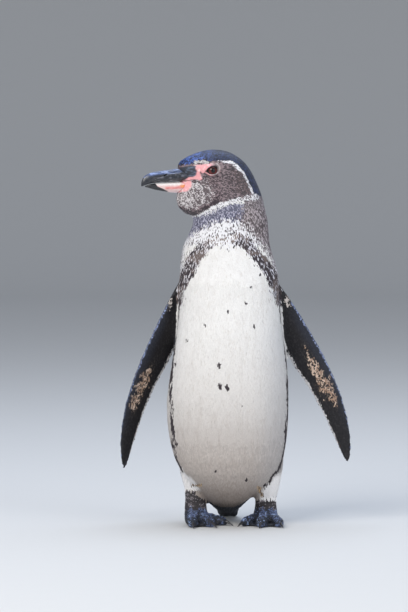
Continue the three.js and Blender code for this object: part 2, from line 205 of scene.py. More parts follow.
def spread(values, ends, rounds, amount=0.5):
    """Values evened out between neighbouring vertices, a number of times."""
    values = np.array(values, float)
    columns = values.reshape(len(values), -1)
    count = np.bincount(ends.ravel(), minlength=len(columns))
    for _ in range(rounds):
        for k in range(columns.shape[1]):
            total = np.bincount(ends[:, 0], columns[ends[:, 1], k], len(columns))
            total += np.bincount(ends[:, 1], columns[ends[:, 0], k], len(columns))
            mean = total / np.maximum(count, 1)
            columns[:, k] += (mean - columns[:, k]) * amount
    return columns.reshape(values.shape)


FIELDS = {"FLOAT": "value", "FLOAT_VECTOR": "vector", "FLOAT_COLOR": "color"}


def write_attribute(mesh, name, kind, values):
    """Stores an array as a vertex attribute of a mesh."""
    if name in mesh.attributes:
        mesh.attributes.remove(mesh.attributes[name])
    values = np.asarray(values, np.float32)
    if kind == "FLOAT_COLOR":
        values = np.hstack([values[:, :3], np.ones((len(values), 1), np.float32)])
    mesh.attributes.new(name, kind, "POINT").data.foreach_set(FIELDS[kind], values.ravel())


def shade_smooth(mesh):
    """Smooth shading on every face."""
    mesh.polygons.foreach_set("use_smooth", [True] * len(mesh.polygons))
    mesh.update()


def new_object(name, data):
    """An object for a mesh, a light or a camera, linked to the scene."""
    made = bpy.data.objects.new(name, data)
    bpy.context.scene.collection.objects.link(made)
    return made


def evaluated_mesh(thing):
    """The mesh of an object with its modifiers applied, as a mesh of its own."""
    graph = bpy.context.evaluated_depsgraph_get()
    graph.update()
    return bpy.data.meshes.new_from_object(
        thing.evaluated_get(graph), preserve_all_data_layers=True, depsgraph=graph)


def discard(thing):
    """Removes an object and its mesh."""
    mesh = thing.data
    bpy.data.objects.remove(thing)
    if mesh is not None and mesh.users == 0:
        bpy.data.meshes.remove(mesh)


def node_surface(node, grow=0.0):
    """A CAD node's merged surface, grown outwards by a distance in metres."""
    surface = bmesh.new()
    surface.from_mesh(frame["nodes"][node].data)
    bmesh.ops.remove_doubles(surface, verts=surface.verts, dist=1e-6)
    surface.normal_update()
    for vertex in surface.verts:
        vertex.co += vertex.normal * grow
    return surface


def remeshed(name, surfaces, voxel):
    """One closed surface round several overlapping ones."""
    mesh = bpy.data.meshes.new(name)
    joined = bmesh.new()
    for surface in surfaces:
        part = bpy.data.meshes.new("part")
        surface.to_mesh(part)
        surface.free()
        joined.from_mesh(part)
        bpy.data.meshes.remove(part)
    joined.to_mesh(mesh)
    joined.free()
    host = new_object("host", mesh)
    remesh = host.modifiers.new("Remesh", "REMESH")
    remesh.mode = "VOXEL"
    remesh.voxel_size = voxel
    made = evaluated_mesh(host)
    made.name = name
    discard(host)
    return made


# ---------------------------------------------------------------- plumage markings

# Marks are drawn on an upright plane that faces the bird: X, and height seen 3 degrees from above.
WHITE = (0.80, 0.78, 0.75)
COLD_WHITE = (0.80, 0.785, 0.795)
# A cream tint mixed with painted shade, laid over the lower belly
CREAM_AND_SHADE = (0.47, 0.415, 0.375)
SHADE_WHITE = (0.73, 0.70, 0.66)
CROWN_DARK = (0.013, 0.015, 0.027)
CROWN_LIGHT = (0.038, 0.050, 0.112)
CROWN_SKY_REFLECTION = (0.085, 0.15, 0.43)
CHEEK_DARK = (0.052, 0.040, 0.046)
CHEEK_LIGHT = (0.27, 0.205, 0.215)
NAPE_DARK = (0.110, 0.090, 0.094)
NAPE_LIGHT = (0.42, 0.365, 0.375)
SLATE_DARK = (0.105, 0.106, 0.155)
SLATE_LIGHT = (0.42, 0.41, 0.50)
BAND_DARK = (0.050, 0.040, 0.045)
BAND_BROWN = (0.23, 0.18, 0.16)
BACK_DARK = (0.030, 0.033, 0.042)
BACK_LIGHT = (0.062, 0.068, 0.086)
UNDERWING_DARK = (0.0095, 0.0085, 0.0105)
UNDERWING_LIGHT = (0.024, 0.021, 0.024)
TAN = (0.40, 0.26, 0.18)
PALE_TAN = (0.72, 0.55, 0.43)
PINK = (0.80, 0.37, 0.38)
PALE_PINK = (0.86, 0.64, 0.64)
LORE_GREY = (0.032, 0.036, 0.050)
LORE_LIGHT = (0.130, 0.165, 0.235)
FOOT_DARK = (0.016, 0.019, 0.030)
FOOT_LIGHT = (0.13, 0.175, 0.33)
FOOT_RIDGE_HIGHLIGHT = (0.34, 0.45, 0.70)
SHANK_DARK = (0.034, 0.027, 0.029)
SHANK_LIGHT = (0.230, 0.205, 0.220)
# Brown of the cuff fringes, also laid as painted shade between the legs
FRINGE_BROWN_AND_SHADE = (0.20, 0.15, 0.12)
FRINGE_TAN = (0.56, 0.40, 0.24)
BELLY_SHADOW = (0.46, 0.46, 0.48)
PAINTED_VENT_SHADE = (0.05, 0.04, 0.035)
CUFF_WHITE_AND_LIGHT = (0.95, 0.92, 0.90)
BAND_PALE = (0.66, 0.63, 0.65)
BAND_PALE_LEFT = (0.62, 0.60, 0.64)
EAR_LIGHT = (0.135, 0.092, 0.090)
EAR_DARK = (0.042, 0.030, 0.033)
CHIN_LIGHT = (0.66, 0.62, 0.62)
CHIN_DARK = (0.13, 0.105, 0.11)
LORE_WHITE = (0.62, 0.62, 0.60)
SHOULDER_LIGHT = (0.70, 0.63, 0.58)
WING_SHEEN = (0.030, 0.036, 0.058)
LEADING_EDGE_HIGHLIGHT = (0.24, 0.29, 0.46)
LEADING_HIGHLIGHT_DARK = (0.05, 0.06, 0.10)
TRAILING_WHITE = (0.66, 0.64, 0.63)
NOTCH_BROWN = (0.05, 0.03, 0.03)
MOUTH_RED = (0.12, 0.03, 0.03)
TEMPLE_BROWN = (0.20, 0.150, 0.150)
RING_PALE = (0.66, 0.60, 0.60)
LID_DARK = (0.022, 0.011, 0.013)

BROW = [
    (-13, 426), (-7.1, 425.6), (2.4, 425.6), (9.4, 420.1), (15, 414.8),
    (19.7, 406.6), (22.4, 400), (26, 392.9), (27.7, 387),
]
COLLAR = [
    (31.9, 384.7), (20.1, 383.5), (7.1, 381.1), (-7.1, 376.9),
    (-17.7, 372.9), (-26, 368.6), (-34.2, 364), (-38.9, 362.6),
]
JAW_LINE = [
    (-57.8, 371.1), (-50.7, 367.6), (-41.3, 365.8), (-33, 368.8), (-23.6, 373.5), (-14.2, 378.2),
]
LORE_BLOTCH = [(-38.9, 425), (-31.9, 426), (-26, 424.2)]
BARE_FACE = [
    (-58, 420), (-46, 421.5), (-39, 422), (-29.1, 422.7), (-15.7, 424.2), (-14.5, 419),
    (-20, 411), (-27.2, 412.5), (-30.5, 412.5), (-33.4, 411), (-31.4, 405.5), (-34.8, 403.8),
    (-44.3, 404.8), (-58, 404.4),
]
EYE_CORNERS = [
    (-28.6, 414.3), (-25, 418.4), (-21, 421), (-16.5, 421.3), (-13.4, 419.6), (-14.1, 416),
    (-17, 413.3), (-21.5, 412.1), (-25, 412.7),
]
EYE_RING = [
    (-26.5, 411.9), (-21.5, 410.3), (-16, 411), (-12, 414.4), (-10.9, 418.6), (-12, 422.3),
    (-15, 424),
]
EYE_SKIN = [
    (-29.5, 413), (-26.8, 410.8), (-21, 409), (-15.2, 409.8), (-10.8, 413.6), (-9.5, 418.8),
    (-10.8, 423.4), (-15, 425.2), (-22, 424.4), (-29, 420),
]
CUFFS = [
    [(-72, 38), (-34, 40), (-40, 50), (-50, 60), (-62, 72), (-72, 72)],
    [(36, 24), (72, 24), (72, 72), (62, 63), (48, 50), (39, 40)],
]
FRINGES = [
    ([(-43, 45.5), (-33, 48)], 1.4, 2.6), ([(34.5, 45), (37, 38), (40.5, 32)], 1.6, 3.0),
]
LORE_SKIN = [
    (-66, 407.5), (-55, 407), (-41.4, 408.4), (-38.5, 410.8), (-38.2, 416), (-39.2, 420.5),
    (-46, 424), (-66, 424),
]
BILL_ROOT = [(-62, 406), (-46, 405), (-43.6, 401), (-44.5, 396), (-49, 391.5), (-62, 390)]
GAPE_LINE = [(-56, 405.6), (-44.8, 406.6), (-36.6, 407.2), (-32.5, 405.6)]
LOWER_GAPE_LINE = [(-56, 403.4), (-45, 404.3), (-36, 404.6)]
LORE_NOTCH = [(-33.4, 413.4), (-32.2, 412)]
CHEEK = [
    (-66, 371), (-57.8, 369), (-50.7, 365.5), (-41.3, 363.5), (-33, 366.5), (-23.6, 371.5),
    (-14.2, 375.5), (7.1, 382), (20.1, 385), (34, 386.5), (60, 386.5), (60, 450), (-70, 450),
    (-70, 390),
]
CROWN = [
    (-75, 423), (-56, 422.5), (-46, 424), (-38.9, 424.5), (-31.9, 427), (-26, 426.5), (-13, 427),
    (2.4, 426.5), (9.4, 421), (15, 415.8), (19.7, 407.6), (22.4, 401), (26, 393.9), (27.7, 388),
    (34, 386.5), (60, 386.5), (60, 460), (-75, 460),
]
CHIN = [
    (-53.1, 398.8), (-40.1, 402.4), (-29.5, 401.2), (-20.1, 394.1), (-21.2, 383.5),
    (-30.7, 375.2), (-43.7, 370.5), (-56, 372.5), (-64, 381.1), (-64, 390.6),
]
HIND_NECK = [
    (31.9, 385), (20.1, 374.1), (13, 357.5), (27.1, 343.4), (40.7, 326.9), (54.3, 305),
    (62, 276.1), (90, 270), (90, 323.3), (60.2, 385),
]
SLATE_BAND = [
    (-48, 361.1), (-28.3, 364.6), (-16.5, 370.5), (-1.2, 376.4), (18.9, 378.8), (33, 381),
    (42, 364.6), (27.1, 349.3), (13, 356.4), (-4.7, 358.7), (-22.4, 355.2), (-34.2, 346.9),
    (-46, 339.8), (-58, 333),
]
CHEST_BAND = [
    (-58.3, 262), (-58.3, 274.5), (-47.4, 298.5), (-41.4, 312.9), (-30.7, 326.2), (-18.5, 333.5),
]
CHEST_BAND_LEFT = [
    (5, 337), (11.6, 334.6), (21.1, 329.8), (28.3, 320.1), (36.8, 312.9),
    (44, 302.1), (50, 290), (56, 276.8), (58.5, 262),
]
CHEST_APEX = [(-20, 333), (-9, 334.5), (5, 337)]
FLANK_RIGHT = [
    (-58.3, 264.8), (-60.2, 250.4), (-63.1, 226.3), (-65.5, 202.1), (-68, 178.2), (-68.9, 156.1),
    (-67, 139.5), (-67, 124.1), (-65.7, 107.5), (-65.7, 93.5), (-62.5, 76.8), (-56.8, 64.1),
]
FLANK_LEFT = [
    (58.5, 267.2), (62.1, 238.4), (64.5, 226.3), (68.6, 181.7), (68.6, 137), (66.1, 110.1),
    (66.7, 98.5), (64.8, 87.7), (61.6, 73), (57.7, 64.1), (51.3, 57.7), (47.4, 49.9), (41.1, 44.8),
]
SPOTS = [
    (25.4, 279.3, 1.4), (18.8, 260, 1.5), (-1.7, 252.2, 1.3), (-28.2, 236.5, 1.4),
    (29, 234.1, 1.4), (-49.3, 217.2, 1.3), (-63.1, 190.1, 1.6), (-11.9, 188.9, 2.3),
    (-11.1, 165.1, 2.6), (-2.7, 163.8, 2.5), (14.9, 141.5, 1.2), (-16.5, 65.4, 1.5),
    (19.9, 55.1, 1.3), (-62.2, 97.3, 1.8), (29.5, 304.6, 1.1), (35.6, 295, 1.1), (5, 326.9, 1.3),
]
UNDERWING_PATCHES = {
    "right": [(-93.5, 184, 1.6), (-98, 174, 4.2), (-106, 157, 5.4), (-113.5, 140, 3.2)],
    "left": [
        (90, 210, 0.4), (94, 199, 1.1), (102, 184, 4.0), (111, 171, 6.2), (119, 157, 6.0),
        (127, 141, 3.0),
    ],
}
SHOULDER_PATCHES = {"right": (-71.4, 260.8, 5.4), "left": (69.6, 263.1, 5.4)}


def facing_turn(height):
    """How far the bird's front is turned to its right, from the trunk up to the head."""
    return math.radians(75) * ease(height, 285, 372)


def seen_side(points):
    """Points brought to the side of the bird that is drawn, and 1 where they lie behind it."""
    turn = facing_turn(points[:, 2])
    front = np.stack([-np.sin(turn), -np.cos(turn)], 1)
    left = np.stack([np.cos(turn), -np.sin(turn)], 1)
    offset = points[:, :2] - NECK_AXIS[:2]
    ahead = np.sum(offset * front, 1)
    aside = np.sum(offset * left, 1)
    hidden = points[:, 1] > 2
    aside = np.where(hidden & (aside < 0), -aside, aside)
    moved = NECK_AXIS[:2] + ahead[:, None] * front + aside[:, None] * left
    round_back = np.degrees(np.abs(np.arctan2(aside, ahead)))
    return np.hstack([moved, points[:, 2:]]), round_back


def drawing_plane(points):
    """The places of points on the upright plane where the marks are drawn."""
    depth = points[:, 1] + HOME[1] / MM
    height = points[:, 2] * math.cos(VIEW_TILT) + depth * math.sin(VIEW_TILT)
    return np.stack([points[:, 0], height], 1)


def eye_axes(side):
    """An eye's centre in the bird's axes, and the direction in which it looks."""
    low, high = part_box("eye_" + side)
    centre = to_bird([(low[k] + high[k]) / 2 for k in range(3)])
    return centre, LEFTWARD * SIDES[side]


def eye_distance(points):
    """The distance of points from the nearest eye's axis, on the eye's own side."""
    nearest = np.full(len(points), 1e9)
    for side in SIDES:
        centre, axis = eye_axes(side)
        offset = points - centre
        out = offset @ axis
        aside = np.linalg.norm(offset - out[:, None] * axis, axis=1)
        nearest = np.minimum(nearest, np.where(out > -4, aside, 1e9))
    return nearest


class Paint:
    """A light colour, a dark colour and the share of dark feathers at each point."""

    def __init__(self, points):
        count = len(points)
        self.fleck = lattice(np.floor(points / 0.7), 7)
        self.light = np.tile(WHITE, (count, 1)).astype(float)
        self.dark = np.tile(SHADE_WHITE, (count, 1)).astype(float)
        self.share = np.full(count, 0.06)

    def wash(self, mask, tone):
        """Shifts both colours towards a tone, without edges."""
        mask = np.clip(mask, 0, 1)[:, None]
        self.light += (np.asarray(tone) - self.light) * mask
        self.dark += (np.asarray(tone) - self.dark) * mask

    def lay(self, mask, light, dark, share):
        """Covers what the mask covers with a new mottle, feather by feather at its edges."""
        mask = ease(1.17 * np.clip(mask, 0, 1) - self.fleck, -0.08, 0.08) * (mask > 0.001)
        self.light += (np.asarray(light) - self.light) * mask[:, None]
        self.dark += (np.asarray(dark) - self.dark) * mask[:, None]
        self.share += (share - self.share) * mask


def bare_skin(points):
    """1 on the featherless skin round the bill and eyes."""
    drawn, _ = seen_side(points)
    plane = drawing_plane(drawn)
    along = (points - NECK_AXIS) @ FORWARD
    mask = patch(plane, BARE_FACE, 1.0)
    mask = np.maximum(mask, patch(plane, BILL_ROOT, 1.0))
    mask *= ease(along, 10, 14)
    mask = np.maximum(mask, 1 - ease(eye_distance(points), 6.6, 7.4))
    mask = np.maximum(mask, patch(plane, EYE_SKIN, 0.8) * (eye_distance(points) < 13))
    return mask * (points[:, 2] > 380)


class Drawn:
    """Points of the plumage, with their places on the plane where the marks are drawn."""

    def __init__(self, points):
        drawn, self.round_back = seen_side(points)
        self.points = points
        self.wobble = np.stack([cloud(points, 5, 3), cloud(points, 5, 4)], 1) - 0.5
        self.plane = drawing_plane(drawn) + self.wobble * 3
        self.fine = self.plane - self.wobble * 1.6
        self.height = self.plane[:, 1]
        self.off_middle = np.abs(self.plane[:, 0] + 2)


def mark_underparts(paint, at):
    """White, with a cream tint and painted shade towards the vent, faint upright streaks, painted
    shade on the bird's left side and between the legs, pale cuffs brightened with painted light,
    and fringes.
    """
    height = at.height
    streaks = cloud(at.points * np.array([1, 1, 0.16]), 3.0, 11)
    # Cream tint and painted shade, growing towards the vent, with faint upright streaks
    low = 0.66 * (1 - ease(height, 50, 255)) + 0.32 * (1 - ease(height, 60, 150))
    paint.wash(low + 0.10 * ease(streaks, 0.45, 0.9), CREAM_AND_SHADE)
    shaded = ease(at.plane[:, 0], 22, 62) * (1 - ease(height, 210, 260)) * (at.points[:, 1] < 10)
    paint.wash(0.34 * shaded, BELLY_SHADOW)
    between = 1 - ease(at.off_middle, 30, 42)
    # Painted shade under the belly between the legs: brownish, and darker near the floor
    paint.wash(0.45 * (1 - ease(height, 30, 64)) * between, FRINGE_BROWN_AND_SHADE)
    paint.wash(0.8 * (1 - ease(height, 18, 30)) * between, PAINTED_VENT_SHADE)
    # The cuffs' own white, brightened with painted light and clear of the painted shade
    for outline in CUFFS:
        paint.wash(patch(at.plane, outline, 5), CUFF_WHITE_AND_LIGHT)
    for line, inner, outer in FRINGES:
        edge = stroke(at.fine, line, inner, outer)
        paint.lay(edge * (at.points[:, 1] < 6), FRINGE_TAN, FRINGE_BROWN_AND_SHADE, 0.45)


def mark_neck(paint, at):
    """The flecked upper breast, the slate band across the neck and the flecked nape."""
    height = at.height
    flecked = ease(height, 318, 338) * (1 - ease(height, 362, 372))
    paint.lay(flecked, COLD_WHITE, NAPE_DARK, 0.2)
    sides = ease(at.off_middle, 46, 56) * ease(height, 262, 275)
    paint.lay(sides * (1 - ease(height, 330, 350)), COLD_WHITE, NAPE_DARK, 0.3)
    paint.lay(patch(at.plane, SLATE_BAND, 12), SLATE_LIGHT, SLATE_DARK, 0.62)
    paint.lay(patch(at.plane, HIND_NECK, 20), NAPE_LIGHT, NAPE_DARK, 0.6)


def mark_bands(paint, at):
    """The band across the breast, the stripes down both flanks and the spots of the belly."""
    plane, height = at.plane, at.height
    broad = ease(height, 266, 298)
    taper = ease(height, 316, 334)
    brown = ease(cloud(at.points, 7, 22), 0.4, 0.65)[:, None]
    band_dark = np.asarray(BAND_DARK) + 0.6 * brown * np.subtract(BAND_BROWN, BAND_DARK)
    gap = line_distance(plane, CHEST_BAND)
    paint.lay(1 - ease(gap - 3.8 - 4.2 * broad + 3 * taper, -2.5, 2.5),
              BAND_PALE, band_dark, 0.76 - 0.2 * taper)
    gap = line_distance(plane, CHEST_BAND_LEFT)
    paint.lay(1 - ease(gap - 3.6 - 3.2 * broad + 0.5 * taper, -2.5, 2.5),
              BAND_PALE_LEFT, band_dark, 0.82 - 0.1 * taper)
    paint.lay(stroke(plane, CHEST_APEX, 4, 5), COLD_WHITE, BAND_BROWN, 0.42)
    broken = ease(cloud(at.points, 8, 21), 0.3, 0.55)
    for line, half_width, least in ((FLANK_RIGHT, 1.9, 0.35), (FLANK_LEFT, 1.6, 0.2)):
        near = stroke(at.fine, line, half_width, 1.8) * (least + (1 - least) * broken)
        paint.lay(near * (1 - ease(at.round_back, 82, 87)), BAND_DARK, BAND_DARK, 0.95)
    for x, z, radius in SPOTS:
        gap = np.hypot(plane[:, 0] - at.wobble[:, 0] * 2 - x, (height - z) * 0.8)
        spot = (1 - ease(gap, radius * 0.8, radius * 1.2)) * (at.points[:, 1] < 0)
        paint.lay(spot, BAND_DARK, BAND_DARK, 1.0)


def mark_back(paint, at):
    """The dark back, from behind the flanks up to the nape, where it is browner and paler."""
    back_start = 99 + 6 * at.wobble[:, 0] + 14 * ease(at.height, 240, 330)
    back = ease(at.round_back, back_start - 3, back_start + 3)
    back *= 1 - ease(at.height, 386, 396)
    nape = ease(at.height, 262, 312)
    dark = np.asarray(BACK_DARK) + np.outer(nape, np.subtract(NAPE_DARK, BACK_DARK))
    light = np.asarray(BACK_LIGHT) + np.outer(nape, np.subtract(NAPE_LIGHT, BACK_LIGHT))
    paint.lay(back, light, dark, 0.62 + 0.1 * (1 - nape))


def mark_cheek(paint, at):
    """The flecked cheek with its brown ear patch, the streaked chin and the jaw line."""
    plane, height = at.plane, at.height
    head = patch(at.fine, CHEEK, 1.6)
    toward_chin = ease(-plane[:, 0], 2, 44) * (1 - ease(height, 392, 406))
    behind = ease(plane[:, 0], -4, 16) * ease(height, 384, 394)
    paint.lay(head, CHEEK_LIGHT, CHEEK_DARK, 0.56 - 0.22 * toward_chin)
    paint.lay(head * behind * 0.8, EAR_LIGHT, EAR_DARK, 0.62)
    chin = ease(patch(at.fine, CHIN, 20), 0.0, 0.9) * 0.85
    paint.lay(chin, CHIN_LIGHT, CHIN_DARK, 0.88 - 0.50 * ease(-plane[:, 0], 12, 62))
    paint.lay(stroke(at.fine, JAW_LINE, 2.6, 2.4), CHEEK_LIGHT, CHEEK_DARK, 0.93)


def mark_crown(paint, at):
    """The blue-black crown with a painted blue sky reflection towards its front, the white blotch
    before the eye, the brow line and the collar.
    """
    fine = at.fine
    # Painted reflection of the sky: the crown turns bright blue towards its front
    sheen = ease(-at.plane[:, 0], 12, 42)
    crown_light_and_reflection = np.asarray(CROWN_LIGHT) + np.outer(sheen, np.subtract(CROWN_SKY_REFLECTION, CROWN_LIGHT))
    paint.lay(patch(fine, CROWN, 1.6), crown_light_and_reflection, CROWN_DARK, 0.58 - 0.1 * sheen)
    paint.lay(stroke(fine, LORE_BLOTCH, 2.0, 3.0) * 0.9, LORE_WHITE, CHEEK_LIGHT, 0.4)
    brow_width = 0.5 + 1.0 * ease(fine[:, 0], -10, 1) - 0.5 * ease(fine[:, 0], 10, 20)
    uneven = 0.6 + 0.8 * cloud(at.points, 3.5, 23)
    brow = 1 - ease(line_distance(fine, BROW) - brow_width * uneven, -0.6, 0.9)
    paint.lay(brow, COLD_WHITE, NAPE_DARK, 0.2)
    collar_width = 0.6 + 1.0 * ease(fine[:, 0], -38, -8) + 1.8 * ease(fine[:, 0], 12, 28)
    collar = 1 - ease(line_distance(fine, COLLAR) - collar_width * uneven, -0.5, 1.0)
    paint.lay(collar, COLD_WHITE, NAPE_DARK, 0.14 + 0.32 * ease(fine[:, 0], -14, 26))


def body_markings(points):
    """The mottle of the head, neck, trunk and thighs, each layer laid over the ones before."""
    paint, at = Paint(points), Drawn(points)
    for mark in (mark_underparts, mark_neck, mark_bands, mark_back, mark_cheek, mark_crown):
        mark(paint, at)
    return paint


def wing_axes(side):
    """A wing's shoulder, its span, chord and through directions, and its span's length."""
    sign = SIDES[side]
    shoulder = np.array([-56.5, 3, 264.0]) if side == "right" else np.array([54, 3, 264.0])
    flare = math.radians(18.8 if side == "right" else 24.4)
    twist = math.radians(36 if side == "right" else 12)
    span = Vector((sign * math.sin(flare), 0.05, -math.cos(flare))).normalized()
    flat = Vector((sign * math.cos(flare), 0, math.sin(flare)))
    chord = Matrix.Rotation(sign * twist, 3, span) @ flat
    through = span.cross(chord).normalized()
    return shoulder, np.array(span), np.array(flat), np.array(chord), np.array(through)


WING_SWEEP = [(-26, -1), (0, 0), (27, 2.2), (54, 4.6), (80, 7.4), (106, 10.1), (134, 11),
              (160, 9.4), (180, 6.8), (196, 3.6), (209, 0)]
WING_CHORD = [(-26, 26), (0, 35), (27, 39.5), (54, 41), (80, 40), (106, 35.6), (134, 31.6),
              (160, 26.2), (180, 20.7), (196, 14.2), (205, 8), (209, 3)]


def wing_place(points, side):
    """Places on a wing: along the span in mm, across the chord from -1 to 1, and through it."""
    shoulder, span, flat, chord, through = wing_axes(side)
    offset = points - shoulder
    along = offset @ span
    sweep = np.interp(along, *np.array(WING_SWEEP).T)
    half = np.interp(along, *np.array(WING_CHORD).T) / 2
    offset = offset - along[:, None] * span - sweep[:, None] * flat
    return along, (offset @ chord) / half, offset @ through


def wing_markings(points, side):
    """The mottle of a wing: brown-black below with pale patches, a painted blue sheen and a
    painted highlight by the leading edge, slate black above.
    """
    along, across, through = wing_place(points, side)
    front = np.where(wing_axes(side)[4][1] < 0, through, -through) > 0
    plane = drawing_plane(points)
    wobble = np.stack([cloud(points, 6, 5), cloud(points, 6, 6)], 1) - 0.5
    paint = Paint(points)
    paint.lay(np.ones(len(points)), BACK_LIGHT, BACK_DARK, 0.72)
    paint.lay(front * 1.0, UNDERWING_LIGHT, UNDERWING_DARK, 0.8)
    mottle = cloud(points * np.array([1, 1, 0.6]), 3.4, 31)
    tan = TAN + np.outer(ease(cloud(points, 2.6, 32), 0.4, 0.7), np.subtract(PALE_TAN, TAN))
    marks = np.array(UNDERWING_PATCHES[side])
    for (x0, z0, r0), (x1, z1, r1) in zip(marks[:-1], marks[1:]):
        start, run = np.array([x0, z0]), np.array([x1 - x0, z1 - z0])
        t = np.clip(((plane + wobble * 3 - start) @ run) / (run @ run), 0, 1)
        gap = np.linalg.norm(plane + wobble * 3 - start - t[:, None] * run, axis=1)
        near = 1 - ease(gap / (r0 + t * (r1 - r0)) + 2.4 * (mottle - 0.5), 0.5, 1.5)
        paint.lay(front * near * 0.68, tan, UNDERWING_DARK, 0.24)
    x, z, radius = SHOULDER_PATCHES[side]
    gap = np.hypot(plane[:, 0] - x, (plane[:, 1] - z) * 0.7)
    shoulder = 0.75 * (1 - ease(gap, radius * 0.5, radius * 1.3))
    paint.lay(front * shoulder, SHOULDER_LIGHT, UNDERWING_DARK, 0.3)
    # Painted blue sheen over the underside towards the leading edge
    glow = front * ease(across, 0.15, 0.8) * ease(along, 0, 40) * (1 - ease(along, 120, 190))
    paint.wash(0.5 * glow, WING_SHEEN)
    # Painted highlight in pale blue along the leading edge of the underside
    leading = front * ease(across, 0.80, 0.90) * (along > 8)
    paint.lay(leading * 0.85, LEADING_EDGE_HIGHLIGHT, LEADING_HIGHLIGHT_DARK, 0.4)
    trailing = ease(-across, 0.76, 0.84) * ease(along, 40, 70)
    paint.lay(trailing * 0.85, TRAILING_WHITE, UNDERWING_LIGHT, 0.25)
    return paint


# Each toe: its angle outwards in degrees, where its root lies across the foot, and its length
TOE_LINES = ((-27, -7.6, 34), (0, 0, 42), (23, 7.6, 39))
ANKLES = {"right": (-39.4, 6, 25), "left": (43.5, 6, -8)}


def toe_distance(points):
    """The distance of points from the nearest toe's middle line, seen from above."""
    nearest = np.full(len(points), 1e9)
    for side, (x, y, turned) in ANKLES.items():
        turn = math.radians(turned)
        for angle, across, reach in TOE_LINES:
            lean = math.radians(angle) * SIDES[side]
            root = np.array([across * SIDES[side], -6.0])
            line = np.array([root, root + reach * np.array([math.sin(lean), -math.cos(lean)])])
            east = x + line[:, 0] * math.cos(turn) - line[:, 1] * math.sin(turn)
            north = y + line[:, 0] * math.sin(turn) + line[:, 1] * math.cos(turn)
            nearest = np.minimum(
                nearest, line_distance(points[:, :2], list(zip(east, north))))
    return nearest


def tail_markings(points):
    """The plain slate black of the tail."""
    paint = Paint(points)
    paint.lay(np.ones(len(points)), BACK_LIGHT, BACK_DARK, 0.7)
    return paint


def foot_markings(points):
    """Blue-black toes with painted highlights in pale streaks, painted shade on the webs between
    them, and folded brown shanks.
    """
    paint = Paint(points)
    ankle = np.where(points[:, 0] < 0, ANKLES["right"][0], ANKLES["left"][0])
    bearing = np.arctan2(points[:, 0] - ankle, 16 - points[:, 1])
    flow = np.stack([bearing * 16, points[:, 1] * 0.2, points[:, 2] * 0.35], 1)
    ridges = cloud(flow, 2.6, 53)
    # Painted highlights: pale blue streaks along the toes
    light = np.asarray(FOOT_LIGHT) + np.outer(
        ease(cloud(flow, 1.5, 55), 0.62, 0.8), np.subtract(FOOT_RIDGE_HIGHLIGHT, FOOT_LIGHT))
    # Painted shade on the webs between the toes
    between = ease(toe_distance(points), 3.6, 5.6) * (points[:, 1] < -4)
    mottle = 0.18 + 0.6 * ease(ridges, 0.42, 0.66)
    paint.lay(np.ones(len(points)), light, FOOT_DARK, np.maximum(mottle, 0.95 * between))
    folds = cloud(points * np.array([0.2, 0.2, 1.0]), 1.5, 54)
    shank = ease(points[:, 2] + 8 * (cloud(points, 5, 56) - 0.5), 14, 22)
    paint.lay(shank, SHANK_LIGHT, SHANK_DARK, 0.3 + 0.65 * ease(folds, 0.35, 0.6))
    return paint


def markings(points, zone):
    """The mottle at points of a zone of the bird."""
    if zone.startswith("wing_"):
        return wing_markings(points, zone.removeprefix("wing_"))
    return {"tail": tail_markings, "foot": foot_markings}.get(zone, body_markings)(points)


def mixed(paint):
    """The even colour of a mottle, as the skin under the feathers shows it."""
    return paint.light + (paint.dark - paint.light) * paint.share[:, None]


def plane_noise(plane):
    """Places on the drawing plane, drawn out along the bill, for noise."""
    return np.stack([plane[:, 0] * 0.4 + plane[:, 1] * 0.25, plane[:, 1], plane[:, 0] * 0], 1)


def bare_colour(points, ground):
    """The colours of the featherless skin laid over the ground colour."""
    drawn, _ = seen_side(points)
    plane = drawing_plane(drawn)
    wobble = (cloud(points, 3, 41) - 0.5)[:, None] * np.array([1.6, 1.2])
    plane = plane + wobble
    colour = ground.copy()
    lay = partial(cover, colour)
    bare = bare_skin(points)
    blotch = ease(cloud(points, 2.2, 42), 0.55, 0.75)[:, None]
    pink = np.asarray(PINK) + blotch * (np.asarray(PALE_PINK) - PINK)
    lay(bare, pink)
    lay(bare * patch(plane, LORE_SKIN, 1.0), LORE_GREY)
    scaly = ease(cloud(plane_noise(plane), 1.3, 44), 0.56, 0.8)
    lay(bare * patch(plane, LORE_SKIN, 1.6) * scaly * 0.8, LORE_LIGHT)
    lay(bare * stroke(plane, LORE_NOTCH, 1.0, 0.9), NOTCH_BROWN)
    lay(stroke(plane, GAPE_LINE, 1.5, 1.2) * bare, PINK)
    lay(stroke(plane, LOWER_GAPE_LINE, 0.5, 0.6) * bare, MOUTH_RED)
    near = (eye_distance(points) < 13) * (points[:, 2] > 400)
    behind_eye = ease(plane[:, 0], -24, -16) * near
    lay(bare * behind_eye, TEMPLE_BROWN)
    broken = 0.25 + 0.6 * ease(cloud(points, 1.8, 43), 0.3, 0.65)
    lay(stroke(plane, EYE_RING, 0.35, 0.7) * near * broken, RING_PALE)
    lay(patch(plane, EYE_CORNERS, 0.7) * near, LID_DARK)
    return colour


# ---------------------------------------------------------------- finishes

class Wiring:
    """A node tree under construction, with nodes added and joined by short calls."""

    def __init__(self, tree):
        self.tree = tree

    def add(self, kind, links=None, **settings):
        """A node with its properties set and its inputs linked or filled."""
        node = self.tree.nodes.new(kind)
        for name, value in settings.items():
            setattr(node, name, value)
        for name, value in (links or {}).items():
            if isinstance(value, bpy.types.NodeSocket):
                self.tree.links.new(value, node.inputs[name])
            else:
                node.inputs[name].default_value = value
        return node


